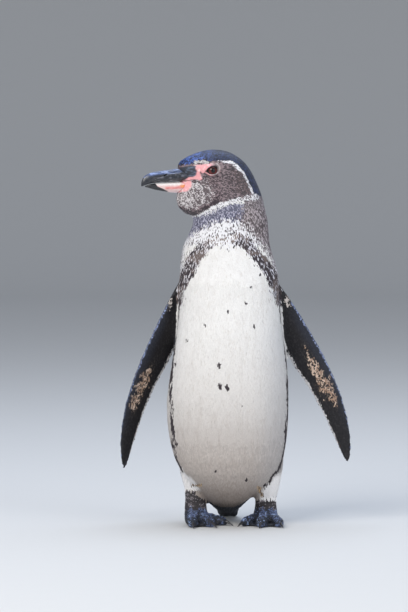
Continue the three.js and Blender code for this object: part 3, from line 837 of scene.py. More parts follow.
# Each finish: roughness and its range, grain and relief in mm, and the shader's even sockets
FINISHES = {
    "feather vane": (0.78, 0.08, 0.5, 0.012, {"Specular IOR Level": 0.25}),
    "crown feather": (0.5, 0.08, 0.5, 0.02, {"Sheen Weight": 0.1, "Sheen Roughness": 0.4}),
    "wing feather": (0.5, 0.08, 0.5, 0.02, {"Specular IOR Level": 0.35}),
    "skin": (0.55, 0.1, 0.7, 0.12, {"Subsurface Weight": 0.08, "Subsurface Scale": 0.001}),
    "foot scale": (0.42, 0.1, 0.4, 0.05, {"Coat Weight": 0.1, "Coat Roughness": 0.35}),
    "bill horn": (0.33, 0.1, 0.5, 0.05, {"Coat Weight": 0.35, "Coat Roughness": 0.25}),
    "claw horn": (0.36, 0.1, 0.4, 0.04, {"Coat Weight": 0.25, "Coat Roughness": 0.3}),
    "wet eye": (0.3, 0.04, 0.35, 0.004, {
        "Specular IOR Level": 0.1, "Coat Weight": 0.6, "Coat Roughness": 0.03}),
}


def finish(name):
    """A material that takes its colour from the tint attribute, with a fine grain over it."""
    roughness, rough_range, grain, relief, sockets = FINISHES[name]
    material = bpy.data.materials.new(name)
    material.use_nodes = True
    wiring = Wiring(material.node_tree)
    shader = material.node_tree.nodes["Principled BSDF"]
    for socket, value in sockets.items():
        shader.inputs[socket].default_value = value
    tint = wiring.add("ShaderNodeAttribute", attribute_name="tint")
    place = wiring.add("ShaderNodeTexCoord")
    noise = wiring.add("ShaderNodeTexNoise", {
        "Vector": place.outputs["Object"], "Scale": 1 / (grain * MM), "Detail": 3.0,
        "Roughness": 0.6}).outputs["Fac"]

    def ranged(low, high):
        return wiring.add("ShaderNodeMapRange", {
            "Value": noise, "From Min": 0.3, "From Max": 0.7,
            "To Min": low, "To Max": high}).outputs["Result"]

    colour = wiring.add("ShaderNodeVectorMath", {
        0: tint.outputs["Color"], "Scale": ranged(0.86, 1.12)}, operation="SCALE")
    bump = wiring.add("ShaderNodeBump", {
        "Height": noise, "Distance": relief * MM, "Strength": 1.0})
    for source, socket in (
        (colour.outputs["Vector"], "Base Color"),
        (ranged(roughness - rough_range, roughness + rough_range), "Roughness"),
        (bump.outputs["Normal"], "Normal"),
    ):
        material.node_tree.links.new(source, shader.inputs[socket])
    return material


def material_for(name):
    """A finish by its name, made the first time it is asked for."""
    return bpy.data.materials.get(name) or finish(name)


def settle(piece, material, slot, *nodes):
    """Gives a piece its finish and its body, and hides the nodes that it replaces; the slot is not
    used.
    """
    if not piece.data.materials:
        piece.data.materials.append(material_for(material))
    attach(piece, "root")
    if nodes:
        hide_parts(*nodes)


def finish_piece(name, mesh, points, colour, material, slot, *nodes):
    """Makes a piece of a mesh, with its vertices moved to points and coloured."""
    place_vertices(mesh, to_frame(points))
    write_attribute(mesh, "tint", "FLOAT_COLOR", colour)
    shade_smooth(mesh)
    mesh.name = name
    settle(new_object(name, mesh), material, slot, *nodes)


# ---------------------------------------------------------------- skin

# How far the nodes are grown before they are joined, and the lids' radii and shape, in mm
SKIN_GROWTH = 0.5
LID_INNER = 5.95
LID_OUTER = 7.9
LID_REACH = math.radians(105)
LID_TILT = math.radians(-14)
LID_EDGE = 0.75
LID_ALMOND = 1.9
LID_TURNS = 64
LID_STEPS = 8


def lid_shell(side):
    """The two lids of an eye: a shell round the eyeball with an almond opening."""
    centre, out = eye_axes(side)
    eyes = bpy.context.scene.penguin_eyes
    half_length = eyes.opening_length / 2 / MM
    half_height = eyes.opening_height / 2 / MM
    up = np.array([0, 0, 1.0])
    shell = bmesh.new()
    loops = []
    for turn in range(LID_TURNS):
        angle = 2 * math.pi * turn / LID_TURNS
        leaning = angle + LID_TILT
        aside = math.cos(leaning) * FORWARD + math.sin(leaning) * up
        width = half_height * (1 - abs(math.cos(angle)) ** LID_ALMOND)
        reach = math.hypot(half_length * math.cos(angle), width)
        opening = math.asin(min(0.95, reach / (LID_INNER + LID_EDGE)))
        steps = [(LID_REACH - opening) * step / LID_STEPS for step in range(LID_STEPS + 1)]
        profile = [(opening + step, LID_INNER) for step in steps]
        profile += [(LID_REACH - step, LID_OUTER) for step in steps]
        loop = []
        for spread_angle, radius in profile:
            place = centre + radius * (
                math.cos(spread_angle) * out + math.sin(spread_angle) * aside)
            loop.append(shell.verts.new(to_frame(place)))
        loops.append(loop)
    for turn in range(LID_TURNS):
        one, two = loops[turn], loops[(turn + 1) % LID_TURNS]
        for k in range(len(one)):
            nxt = (k + 1) % len(one)
            shell.faces.new([one[k], one[nxt], two[nxt], two[k]])
    bmesh.ops.recalc_face_normals(shell, faces=shell.faces)
    return shell


def nearest_nodes(points, names):
    """The name of the CAD node nearest to each point, as a number in the list of names."""
    corners, faces, owners = [], [], []
    for number, name in enumerate(names):
        mesh = frame["nodes"][name].data
        start = len(corners)
        corners.extend(vertex.co.copy() for vertex in mesh.vertices)
        faces.extend([start + k for k in polygon.vertices] for polygon in mesh.polygons)
        owners.extend([number] * len(mesh.polygons))
    tree = BVHTree.FromPolygons(corners, faces)
    found = [tree.find_nearest(Vector(point))[2] for point in points]
    return np.array(owners)[found]


def owned(owner, *names):
    """Where points belong to any of these nodes."""
    return np.isin(owner, [FLESH.index(name) for name in names])


def lie_field(points, owner):
    """The direction in which the feathers lie at each point."""
    lie = np.tile([0, 0.12, -1.0], (len(points), 1))
    under = 1 - ease(points[:, 2], 26, 70)
    lie += under[:, None] * np.array([0, 0.9, 0.35]) * (points[:, 1] > -45)[:, None]
    away = points - BILL_BASE
    reach = np.linalg.norm(away, axis=1)
    from_bill = unit(away + np.array([0, 0, 4.0]))
    share = ease(points[:, 2], 352, 384) * (1 - 0.75 * ease(reach, 45, 100))
    lie = lie * (1 - share[:, None]) + from_bill * share[:, None]
    for name in FLESH:
        own = owned(owner, name)
        if name.startswith("wing_"):
            span, chord = wing_axes(name.removeprefix("wing_"))[1:4:2]
            lie[own] = span - 0.22 * chord
        if name == "tail":
            lie[own] = unit(np.array([[0, 62, -42.3]]))
        if name.startswith("thigh_"):
            lie[own] = [0, 0.05, -1.0]
        if name.startswith("foot_"):
            low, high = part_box("shank_" + name.removeprefix("foot_"))
            ankle = to_bird([(low[k] + high[k]) / 2 for k in range(3)])
            lie[own] = (points[own] - ankle) * [1, 1, 0.15] + [0, 0, -0.5]
    return lie


# How far the skin lies inside each node in mm, and how much each node is smoothed
SKIN_DEPTHS = {
    "head": 0.7, "neck": 1.1, "trunk": 1.3, "tail": 0.6, "wing_right": 0.5, "wing_left": 0.5,
    "thigh_right": 1.2, "thigh_left": 1.2,
}
SMOOTHING = {"trunk": 1.0, "neck": 1.0, "thigh_right": 0.7, "thigh_left": 0.7, "head": 0.35}
LEAST_SMOOTHING = 0.12
LAST_SMOOTHING_ROUNDS = 6

# Where the neck, breast and face coats begin, in mm up, and the face's reach ahead of the neck
NECK_FROM = 296
BREAST_FROM = 172
FACE_FROM = 374
FACE_TO = 431
FACE_AHEAD = 16


def by_node(owner, values, otherwise):
    """Each point's value, looked up by the node that it belongs to."""
    return np.array([values.get(name, otherwise) for name in FLESH])[owner]


def zone_masks(points, owner):
    """The zones that bear feathers or scales, each as a mask over the points."""
    across, back, height = points.T
    bare = bare_skin(points) > 0.5
    torso = owned(owner, *TRUNK_NODES)
    ragged = height + 26 * (cloud(points, 5, 62) - 0.5)
    neck = torso & (ragged > NECK_FROM)
    trunk = torso & ~neck
    front = back < 2
    upper = ragged > BREAST_FROM
    head = owned(owner, "head") & ~bare
    face = head & ((points - NECK_AXIS) @ FORWARD > FACE_AHEAD)
    face &= (height > FACE_FROM) & (height < FACE_TO)
    scaly = owned(owner, *LEG_NODES) & (height > 1)
    return {
        "breast": trunk & front & upper,
        "belly": trunk & front & ~upper,
        "back": trunk & ~front & upper,
        "rump": trunk & ~front & ~upper,
        "neck": neck,
        "face": face,
        "crown": head & ~face,
        "wing_right": owned(owner, "wing_right"),
        "wing_left": owned(owner, "wing_left"),
        "tail": owned(owner, "tail"),
        "foot_right": scaly & (across < 0),
        "foot_left": scaly & (across > 0),
    }


def hollow_rise(outward, lie, points, ends):
    """The bend of the skin along its lie, per mm, where it is hollow, and 0 elsewhere."""
    bend, weight = np.zeros(len(points)), np.full(len(points), 1e-6)
    for here, there in (ends.T, ends.T[::-1]):
        along = np.sum((points[there] - points[here]) * lie[here], axis=1)
        swing = np.sum((outward[there] - outward[here]) * lie[here], axis=1)
        np.add.at(bend, here, -swing * along)
        np.add.at(weight, here, along ** 2)
    return np.clip(spread(bend / weight, ends, 5), 0, 0.14)


def grown_zones(masks, ends):
    """The zones with each feathered one a step larger, so that no gap is left between two."""
    feathered = [name for name in masks if not name.startswith("foot_")]
    anywhere = np.any([masks[name] for name in feathered], axis=0)
    grown = dict(masks)
    for name in feathered:
        touched = np.zeros_like(anywhere)
        touched[ends[masks[name][ends].any(axis=1)]] = True
        grown[name] = masks[name] | (touched & anywhere)
    return grown


def foot_creases(points):
    """Shallow folds across the toes and webs, in mm."""
    ridges = np.sin(points[:, 1] * 1.7 + 2.2 * cloud(points, 7, 51))
    return 0.16 * ridges * (points[:, 2] < 22) - 0.3 * ease(cloud(points, 2.4, 52), 0.6, 0.8)


def softened(mesh, rounds):
    """Smooths a skin, most on the trunk, and gives its points and their nodes."""
    points = to_bird(coordinates(mesh))
    owner = nearest_nodes(coordinates(mesh), FLESH)
    ends = edge_ends(mesh)
    amount = by_node(owner, SMOOTHING, LEAST_SMOOTHING)
    amount *= 0.15 + 0.85 * ease(eye_distance(points), 7, 12)
    amount = spread(amount, ends, 8)[:, None] * 0.8
    for _ in range(rounds):
        even = spread(points, ends, 1, 1.0)
        points += (even - points) * amount
    place_vertices(mesh, to_frame(points))
    return points, owner


# The skin keeps its triangles on the head and feet, and is thinned most on the trunk
HEAD_FROM = 352
FEET_TO = 40
HEAD_THINNING = 0.02
FEET_THINNING = 0.3
THINNING_FACTOR = 6e-7


def thin(body, points, faces):
    """Thins an object's mesh to about a number of triangles."""
    dense = body.data
    share = np.where(points[:, 2] < FEET_TO, FEET_THINNING, 1.0)
    share = np.where(points[:, 2] > HEAD_FROM, HEAD_THINNING, share)
    group = body.vertex_groups.new(name="coarse")
    for weight in np.unique(share):
        group.add(np.nonzero(share == weight)[0].tolist(), float(weight), "REPLACE")
    modifier = body.modifiers.new("Decimate", "DECIMATE")
    modifier.ratio = faces / sum(len(polygon.vertices) - 2 for polygon in dense.polygons)
    modifier.vertex_group = group.name
    modifier.vertex_group_factor = THINNING_FACTOR
    thinned = evaluated_mesh(body)
    body.modifiers.clear()
    body.vertex_groups.clear()
    body.data = thinned
    bpy.data.meshes.remove(dense)
    thinned.name = body.name


# The depth of the coat round the bare face, in mm
FACE_DEPTH = 0.3


def set_in(mesh, points, owner):
    """Moves a skin inwards by the depth of its coat, and folds its bare parts."""
    ends = edge_ends(mesh)
    bare = bare_skin(points)
    lids = ease(eye_distance(points), 6.8, 7.6)
    near_face = ease((points - NECK_AXIS) @ FORWARD, 6, 20) * ease(points[:, 2], 372, 384)
    depth = by_node(owner, SKIN_DEPTHS, 0.0) * (1 - near_face) + FACE_DEPTH * near_face
    depth = spread(depth * (1 - bare), ends, 12)
    outward = unit(spread(normals(mesh), ends, 3))
    points -= outward * (SKIN_GROWTH + depth)[:, None]
    wrinkle = (cloud(points, 1.6, 61) - 0.5) * 0.35 * bare * lids
    points += outward * wrinkle[:, None]
    points += outward * (foot_creases(points) * owned(owner, *LEG_NODES))[:, None]
    points[:, 2] = np.maximum(points[:, 2], 0.0)
    place_vertices(mesh, to_frame(points))


# How far ahead of its root a long or a short feather clears hollow skin, in mm
LONG_REACH = 3.6
SHORT_REACH = 2.4


def write_lie(mesh, points, owner, masks):
    """Stores the directions in which the coat stands and lies, lifted clear of hollow skin."""
    ends = edge_ends(mesh)
    outward = unit(spread(normals(mesh), ends, 8))
    lie = spread(unit(lie_field(points, owner)), ends, 10)
    lie = unit(lie - outward * np.sum(lie * outward, axis=1, keepdims=True))
    long_vaned = owned(owner, *TRUNK_NODES) & ~masks["neck"]
    reach = np.where(long_vaned, LONG_REACH, SHORT_REACH)
    rise = (hollow_rise(outward, lie, points, ends) * reach)[:, None]
    write_attribute(mesh, "outward", "FLOAT_VECTOR", unit(outward - lie * rise))
    write_attribute(mesh, "lie", "FLOAT_VECTOR", unit(lie + outward * rise))


# The tail's end behind the origin in mm, and its run back per mm of its length
TAIL_END = 88.0
TAIL_SLOPE = 0.826
LEAST_TAIL_FEATHER = 0.3


def plume_sizes(points, owner, masks):
    """The size of each point's feathers: smaller up the breast and near the tail's end."""
    tail_length = bpy.context.scene.penguin_plumage.tail_length / MM
    tail_left = (TAIL_END - points[:, 1]) / TAIL_SLOPE / tail_length
    plume = np.where(masks["neck"], 1.0, 1 - 0.36 * ease(points[:, 2], 225, NECK_FROM))
    plume = np.where(masks["tail"], np.clip(tail_left, LEAST_TAIL_FEATHER, 1.0), plume)
    return np.where(owned(owner, *TRUNK_NODES) | masks["tail"], plume, 1.0)


# Painted shade: how dark the skin is between the scales, as a share of their colour
SHADE_UNDER_SCALES = 0.45


def skin_colour(points, owner, ends):
    """The skin's colours: each zone's mottle made even, and the bare skin over it."""
    colour = np.zeros((len(points), 3))
    for name in FLESH:
        own = owned(owner, name)
        zone = "foot" if name in LEG_NODES else name
        colour[own] = mixed(markings(points[own], zone))
    # Painted shade on the skin between the foot scales
    colour[owned(owner, *LEG_NODES)] *= SHADE_UNDER_SCALES
    return bare_colour(points, spread(colour, ends, 1))


def build_skin():
    """The whole skin, as one closed surface inside the flesh nodes, with its attributes."""
    plumage = bpy.context.scene.penguin_plumage
    surfaces = [node_surface(node, SKIN_GROWTH * MM) for node in FLESH]
    surfaces += [lid_shell(side) for side in SIDES]
    body = new_object("skin", remeshed("skin", surfaces, plumage.skin_voxel))
    points, _ = softened(body.data, int(plumage.skin_smoothing))
    thin(body, points, plumage.skin_faces)
    mesh = body.data
    points, owner = softened(mesh, LAST_SMOOTHING_ROUNDS)
    set_in(mesh, points, owner)

    ends = edge_ends(mesh)
    masks = grown_zones(zone_masks(points, owner), ends)
    write_lie(mesh, points, owner, masks)
    write_attribute(mesh, "plume", "FLOAT", plume_sizes(points, owner, masks))
    for name, mask in masks.items():
        write_attribute(mesh, "zone_" + name, "FLOAT", mask)
    write_attribute(mesh, "tint", "FLOAT_COLOR", skin_colour(points, owner, ends))
    shade_smooth(mesh)
    return body


# ---------------------------------------------------------------- feathers and scales

# A vane's corners: across in widths, along and up in lengths
VANE = np.array([
    (0, 0, -0.02), (-0.5, 0.45, 0.004), (-0.36, 0.84, 0.002), (0, 1.0, -0.002),
    (0.36, 0.84, 0.002), (0.5, 0.45, 0.004), (0, 0.62, 0.020), (0, 0.55, -0.004),
])
VANE_SHADE = np.array([0.90, 0.97, 0.98, 1.0, 0.98, 0.97, 1.0, 0.9])
VANE_RIM = 6


def vane():
    """One feather: a thin closed vane with a raised midline."""
    mesh = bpy.data.meshes.new("vane")
    faces = [(VANE_RIM, (k + 1) % VANE_RIM, k) for k in range(VANE_RIM)]
    faces += [(VANE_RIM + 1, k, (k + 1) % VANE_RIM) for k in range(VANE_RIM)]
    mesh.from_pydata(VANE.tolist(), [], faces)
    shade_smooth(mesh)
    for edge in mesh.edges:
        edge.use_edge_sharp = max(edge.vertices) < VANE_RIM
    return new_object("vane", mesh)


# A scale's foot, its two rims as radius and height, and its top, in lengths
SCUTE_SIDES = 6
SCUTE_FOOT = -0.12
SCUTE_RIMS = ((0.5, -0.02), (0.34, 0.17))
SCUTE_TOP = 0.23


def scute():
    """One scale of a foot: a low six-sided dome."""
    corners = [(0, 0, SCUTE_FOOT)]
    for radius, height in SCUTE_RIMS:
        for k in range(SCUTE_SIDES):
            angle = 2 * math.pi * (k + 0.5) / SCUTE_SIDES
            corners.append((radius * math.cos(angle), radius * math.sin(angle), height))
    corners.append((0, 0, SCUTE_TOP))
    rim, top = 1 + SCUTE_SIDES, 1 + 2 * SCUTE_SIDES
    faces = []
    for k in range(SCUTE_SIDES):
        nxt = (k + 1) % SCUTE_SIDES
        faces.append((0, 1 + nxt, 1 + k))
        faces.append((1 + k, 1 + nxt, rim + nxt, rim + k))
        faces.append((rim + k, rim + nxt, top))
    mesh = bpy.data.meshes.new("scute")
    mesh.from_pydata(corners, [], faces)
    shade_smooth(mesh)
    return new_object("scute", mesh)


# How far the tufts vary: in lift, in size, and in roll as a share of their sway
LIFT_RANGE = 0.2
SIZE_RANGE = 0.15
ROLL_SHARE = 0.15


def coat_tree():
    """The tree that sets vanes or scales over one zone of the skin, along its lie."""
    tree = bpy.data.node_groups.new("coat", "GeometryNodeTree")
    face = tree.interface
    face.new_socket("Geometry", in_out="OUTPUT", socket_type="NodeSocketGeometry")
    for name, kind in (
        ("Geometry", "Geometry"), ("Tuft", "Object"), ("Zone", "String"), ("Spacing", "Float"),
        ("Length", "Float"), ("Width", "Float"), ("Lift", "Float"), ("Sway", "Float"),
        ("Seed", "Int"), ("Finish", "Material"),
    ):
        face.new_socket(name, in_out="INPUT", socket_type="NodeSocket" + kind)
    add = Wiring(tree).add
    given = add("NodeGroupInput").outputs

    def named(name, kind="FLOAT"):
        return add("GeometryNodeInputNamedAttribute", {"Name": name},
                   data_type=kind).outputs["Attribute"]

    def maths(operation, one, two):
        return add("ShaderNodeMath", {0: one, 1: two}, operation=operation).outputs[0]

    def vector(x, y, z):
        return add("ShaderNodeCombineXYZ", {"X": x, "Y": y, "Z": z}).outputs[0]

    inside = add("FunctionNodeCompare", {"A": named(given["Zone"]), "B": 0.5},
                 operation="GREATER_THAN")
    area = maths("MULTIPLY", given["Spacing"], given["Spacing"])
    roots = add("GeometryNodeDistributePointsOnFaces", {
        "Mesh": given["Geometry"], "Selection": inside.outputs["Result"],
        "Distance Min": given["Spacing"], "Density Max": maths("DIVIDE", 3.0, area),
        "Seed": given["Seed"]}, distribute_method="POISSON")
    upright = add("FunctionNodeAxesToRotation", {
        0: named("outward", "FLOAT_VECTOR"), 1: named("lie", "FLOAT_VECTOR")},
        primary_axis="Z", secondary_axis="Y")
    roll = maths("MULTIPLY", given["Sway"], ROLL_SHARE)
    least = vector(
        maths("MULTIPLY", given["Lift"], 1 - LIFT_RANGE), maths("SUBTRACT", 0.0, roll),
        maths("SUBTRACT", 0.0, given["Sway"]))
    most = vector(maths("MULTIPLY", given["Lift"], 1 + LIFT_RANGE), roll, given["Sway"])
    turn = add("FunctionNodeRandomValue", {
        0: least, 1: most, "Seed": given["Seed"]}, data_type="FLOAT_VECTOR")
    euler = add("FunctionNodeEulerToRotation", {0: turn.outputs[0]})
    turned = add("FunctionNodeRotateRotation", {
        0: upright.outputs[0], 1: euler.outputs[0]}, rotation_space="LOCAL")
    swell = add("FunctionNodeRandomValue", {
        "Min": 1 - SIZE_RANGE, "Max": 1 + SIZE_RANGE, "Seed": given["Seed"]}, data_type="FLOAT")
    scale = add("ShaderNodeVectorMath", {
        0: vector(given["Width"], given["Length"], given["Length"]),
        "Scale": maths("MULTIPLY", named("plume"), swell.outputs["Value"])}, operation="SCALE")
    shape = add("GeometryNodeObjectInfo", {"Object": given["Tuft"]})
    tufts = add("GeometryNodeInstanceOnPoints", {
        "Points": roots.outputs["Points"], "Instance": shape.outputs["Geometry"],
        "Rotation": turned.outputs[0], "Scale": scale.outputs[0]})
    solid = add("GeometryNodeRealizeInstances", {"Geometry": tufts.outputs[0]})
    done = add("GeometryNodeSetMaterial", {
        "Geometry": solid.outputs[0], "Material": given["Finish"]})
    add("NodeGroupOutput", {"Geometry": done.outputs[0]})
    return tree


def scattered(host, tree, inputs):
    """The plain mesh that the coat tree makes on a host surface with these inputs."""
    modifier = host.modifiers.new("coat", "NODES")
    modifier.node_group = tree
    for item in tree.interface.items_tree:
        if item.in_out == "INPUT" and item.name in inputs:
            modifier[item.identifier] = inputs[item.name]
    made = evaluated_mesh(host)
    host.modifiers.remove(modifier)
    for name in [attribute.name for attribute in made.attributes]:
        if name.startswith("zone_") or name in ("outward", "lie", "plume", "tint"):
            made.attributes.remove(made.attributes[name])
    return made


# The tail's middle plane: its root behind the origin and up in mm, and its fall per mm of run
TAIL_ROOT = (26, 43)
TAIL_FALL = 0.682
TAIL_WIDTH = 45.0
MAP_EDGE = 0.004


def unwrap(roots, zone):
    """Even places between 0 and 1 for roots, on an unwrap of their own part of the skin."""
    if zone.startswith("wing_"):
        side = zone.removeprefix("wing_")
        along, across, through = wing_place(roots, side)
        u = 0.25 + 0.22 * np.clip(across, -1, 1) + 0.5 * (through > 0)
        v = along
    elif zone == "tail":
        middle = TAIL_ROOT[1] - (roots[:, 1] - TAIL_ROOT[0]) * TAIL_FALL
        u = roots[:, 0] + TAIL_WIDTH * (roots[:, 2] > middle)
        v = roots[:, 1]
    elif zone.startswith("foot_"):
        u = roots[:, 0]
        v = roots[:, 1] - 1.2 * roots[:, 2]
    else:
        middle = np.median(roots[:, :2], axis=0) if zone in ("face", "crown") else NECK_AXIS
        u = np.arctan2(roots[:, 0] - middle[0], roots[:, 1] - middle[1])
        if zone in ("breast", "belly", "face"):
            u = np.mod(u, 2 * math.pi)
        v = roots[:, 2]
    place = np.stack([u, v], 1)
    low, high = place.min(0), place.max(0)
    return MAP_EDGE + (1 - 2 * MAP_EDGE) * (place - low) / np.maximum(high - low, 1e-9)


TUFT_PATCH = 0.003


def tint_tufts(mesh, pattern, shade, zone, seed):
    """Colours each feather or scale of a coat piece, and gives it its patch of the OFBake map."""
    size = len(pattern)
    places = to_bird(coordinates(mesh)).reshape(-1, size, 3)
    roots = places[:, 0]
    drawn_at = roots * 0.4 + places[:, 3] * 0.6
    kind = zone if zone.startswith("wing_") or zone == "tail" else "body"
    if zone.startswith("foot_"):
        kind = "foot"
    paint = markings(drawn_at, kind)
    chance = np.random.default_rng(seed)
    lumps = cloud(drawn_at, 3.6, seed)
    even = 0.86
    if zone == "face":
        away = drawn_at - BILL_BASE
        reach = np.linalg.norm(away, axis=1, keepdims=True)
        lumps = cloud(unit(away) * 34 + reach * 0.2, 1.9, seed)
        even = 0.55
    draw = even * chance.random(len(roots)) + (1 - even) * lumps
    rank = (np.argsort(np.argsort(draw)) + 0.5) / len(draw)
    dark = ease(paint.share - rank, -0.04, 0.04)
    colour = paint.light + (paint.dark - paint.light) * dark[:, None]
    brightness = colour.mean(axis=1)
    jitter = np.where(brightness > 0.5, 0.05, 0.2) * (chance.random(len(roots)) - 0.5)
    colour = colour * (1 + jitter)[:, None]
    tint = colour[:, None, :] * np.asarray(shade)[None, :, None]
    write_attribute(mesh, "tint", "FLOAT_COLOR", np.clip(tint, 0, 1).reshape(-1, 3))

    spots = unwrap(roots, zone)
    local = pattern[:, :2] - pattern[:, :2].mean(0)
    local = local / np.abs(local).max() * TUFT_PATCH / 2
    corner_places = (spots[:, None, :] + local[None]).reshape(-1, 2)
    layer = mesh.uv_layers.new(name="OFBake")
    corners = np.empty(len(mesh.loops), np.int32)
    mesh.loops.foreach_get("vertex_index", corners)
    layer.data.foreach_set("uv", corner_places[corners].astype(np.float32).ravel())


# Each zone's coat: its kind of tuft, its seed, its shares of the lift and sway, finish and slot
COATS = {
    "breast": ("body", 11, 1, 1, "feather vane", "plumage_pale"),
    "belly": ("body", 12, 1, 1, "feather vane", "plumage_pale"),
    "back": ("body", 13, 1, 1, "feather vane", "plumage_dark"),
    "rump": ("body", 14, 1, 1, "feather vane", "plumage_dark"),
    "neck": ("neck", 15, 1, 1, "feather vane", "plumage_pale"),
    "crown": ("head", 21, 1, 1, "crown feather", "plumage_dark"),
    "face": ("face", 22, 1, 1, "feather vane", "plumage_dark"),
    "wing_right": ("wing", 31, 0.8, 0.6, "wing feather", "plumage_dark"),
    "wing_left": ("wing", 32, 0.8, 0.6, "wing feather", "plumage_dark"),
    "tail": ("tail", 41, 0.35, 0.6, "wing feather", "plumage_dark"),
    "foot_right": ("scale", 51, 0, 0, "foot scale", "foot_skin"),
    "foot_left": ("scale", 52, 0, 0, "foot scale", "foot_skin"),
}

# How far a scale turns aside at random, in radians, and its shade from foot to top
SCALE_SWAY = 0.3
SCUTE_SHADE = (0.7, 1.08)


def lay_coat(zone):
    """Makes the piece of the coat that covers one zone of the skin."""
    kind, seed, lift_share, sway_share, material, slot = COATS[zone]
    scales = kind == "scale"
    plumage = bpy.context.scene.penguin_plumage
    sizes = bpy.context.scene.penguin_feet if scales else plumage
    sway = SCALE_SWAY if scales else plumage.sway * sway_share
    part, _, side = zone.partition("_")
    name = part + ("_scales" if scales else "_feathers") + (side and "_" + side)
    tuft = "scute" if scales else "vane"
    template = bpy.data.objects.get(tuft) or {"vane": vane, "scute": scute}[tuft]()
    tree = bpy.data.node_groups.get("coat") or coat_tree()
    host = new_object("host", bpy.data.objects["skin"].data.copy())
    mesh = scattered(host, tree, {
        "Tuft": template, "Zone": "zone_" + zone, "Seed": seed, "Finish": material_for(material),
        "Spacing": getattr(sizes, kind + "_spacing"), "Length": getattr(sizes, kind + "_length"),
        "Width": getattr(sizes, kind + "_width"), "Lift": plumage.lift * lift_share, "Sway": sway,
    })
    discard(host)
    pattern = coordinates(template.data)
    shade = np.linspace(*SCUTE_SHADE, len(pattern)) if scales else VANE_SHADE
    if len(mesh.vertices) == 0:
        raise RuntimeError(f"{name}: nothing grows on the zone {zone}")
    places = coordinates(mesh)
    places[:, 2] = np.maximum(places[:, 2], 0.0)
    place_vertices(mesh, places)
    tint_tufts(mesh, pattern, shade, zone, seed)
    mesh.name = name
    shade_smooth(mesh)
    settle(new_object(name, mesh), material, slot)
    print(f"{name}: {len(mesh.vertices) // len(pattern)} tufts, {len(mesh.polygons)} faces")


# ---------------------------------------------------------------- bill, claws and eyes

def head_axes(points):
    """Places in the head's own axes: along the bill, across it and up."""
    offset = points - NECK_AXIS
    return offset @ FORWARD, -(offset @ LEFTWARD), points[:, 2]


def horn_piece(node, voxel, rounds):
    """A smooth, dense copy of a horn node, with its points in the bird's axes and its normals."""
    mesh = remeshed(node, [node_surface(node)], voxel)
    points = to_bird(coordinates(mesh))
    ends = edge_ends(mesh)
    before = points.copy()
    for _ in range(rounds):
        points = spread(points, ends, 1, 0.6)
    lost = np.sum((before - points) * unit(normals(mesh)), axis=1)
    points += unit(normals(mesh)) * (spread(lost, ends, 30) * 0.8)[:, None]
    place_vertices(mesh, to_frame(points))
    outward = unit(spread(normals(mesh), ends, 3))
    return mesh, points, outward


# Lines of the bill, as places along it from the neck's axis and heights, in mm
PLATE_GROOVE = [(50, 417.5), (62, 416.4), (70, 414.8), (76.6, 412.6), (86, 409.2), (95, 405.6)]
UPPER_EDGE = [(50, 408.4), (64, 407.6), (80, 406.6), (92, 404.2)]
NOSTRIL = (76.6, 413.05)
NOSTRIL_DROP = 0.85
NOSTRIL_SHADE = [(75.2, 413.5), (78.2, 412.5)]
RIDGE_LINE = [(50, 417), (62, 415), (75, 413.5), (88, 412), (97, 409.5)]
LOWER_GROOVE = [(50, 396.5), (84, 399.5)]
CUTTING_EDGE = [(60, 402.6), (86, 402.4)]
RED_STREAK = [(57, 398.2), (75, 397.4)]
ORANGE_CORNER = [(53.5, 399.8), (57.5, 399.6)]
KEEL_LINE = [(70, 390), (74, 394), (80, 397), (86, 399.5), (88, 403), (92, 420)]


def upper_bill_relief(along, height, bill):
    """Grooves and the nostril of the upper bill, as depths in mm."""
    side = np.stack([along, height], 1)
    groove = bill.groove_depth / MM
    relief = -groove * stroke(side, PLATE_GROOVE, 0.7, 1.1)
    relief -= groove * 0.6 * stroke(side, UPPER_EDGE, 0.5, 0.9)
    half = bill.nostril_length / 2 / MM
    slit = [(NOSTRIL[0] - half, NOSTRIL[1] + NOSTRIL_DROP),
            (NOSTRIL[0] + half, NOSTRIL[1] - NOSTRIL_DROP)]
    relief -= bill.nostril_depth / MM * stroke(side, slit, bill.nostril_width / 2 / MM, 0.5)
    rings = np.sin(along * 1.1 + 1.5 * cloud(side @ np.eye(2, 3), 6, 71))
    return relief + 0.12 * rings * ease(along, 84, 60)


HORN_BLACK = (0.020, 0.022, 0.029)
HORN_PINK = (0.83, 0.60, 0.57)
RIDGE_SKY_HIGHLIGHT = (0.075, 0.115, 0.265)
RIDGE_PALE_HIGHLIGHT = (0.26, 0.34, 0.60)
EDGE_BROWN = (0.15, 0.13, 0.13)
STREAK_GREY = (0.17, 0.175, 0.22)
SHADE_IN_NOSTRIL = (0.006, 0.006, 0.007)
EDGE_WHITE = (0.84, 0.78, 0.76)
JAW_RED = (0.80, 0.20, 0.19)
JAW_ORANGE = (0.88, 0.30, 0.09)
TIP_BLACK = (0.016, 0.016, 0.019)
STREAK_BROWN = (0.45, 0.30, 0.30)


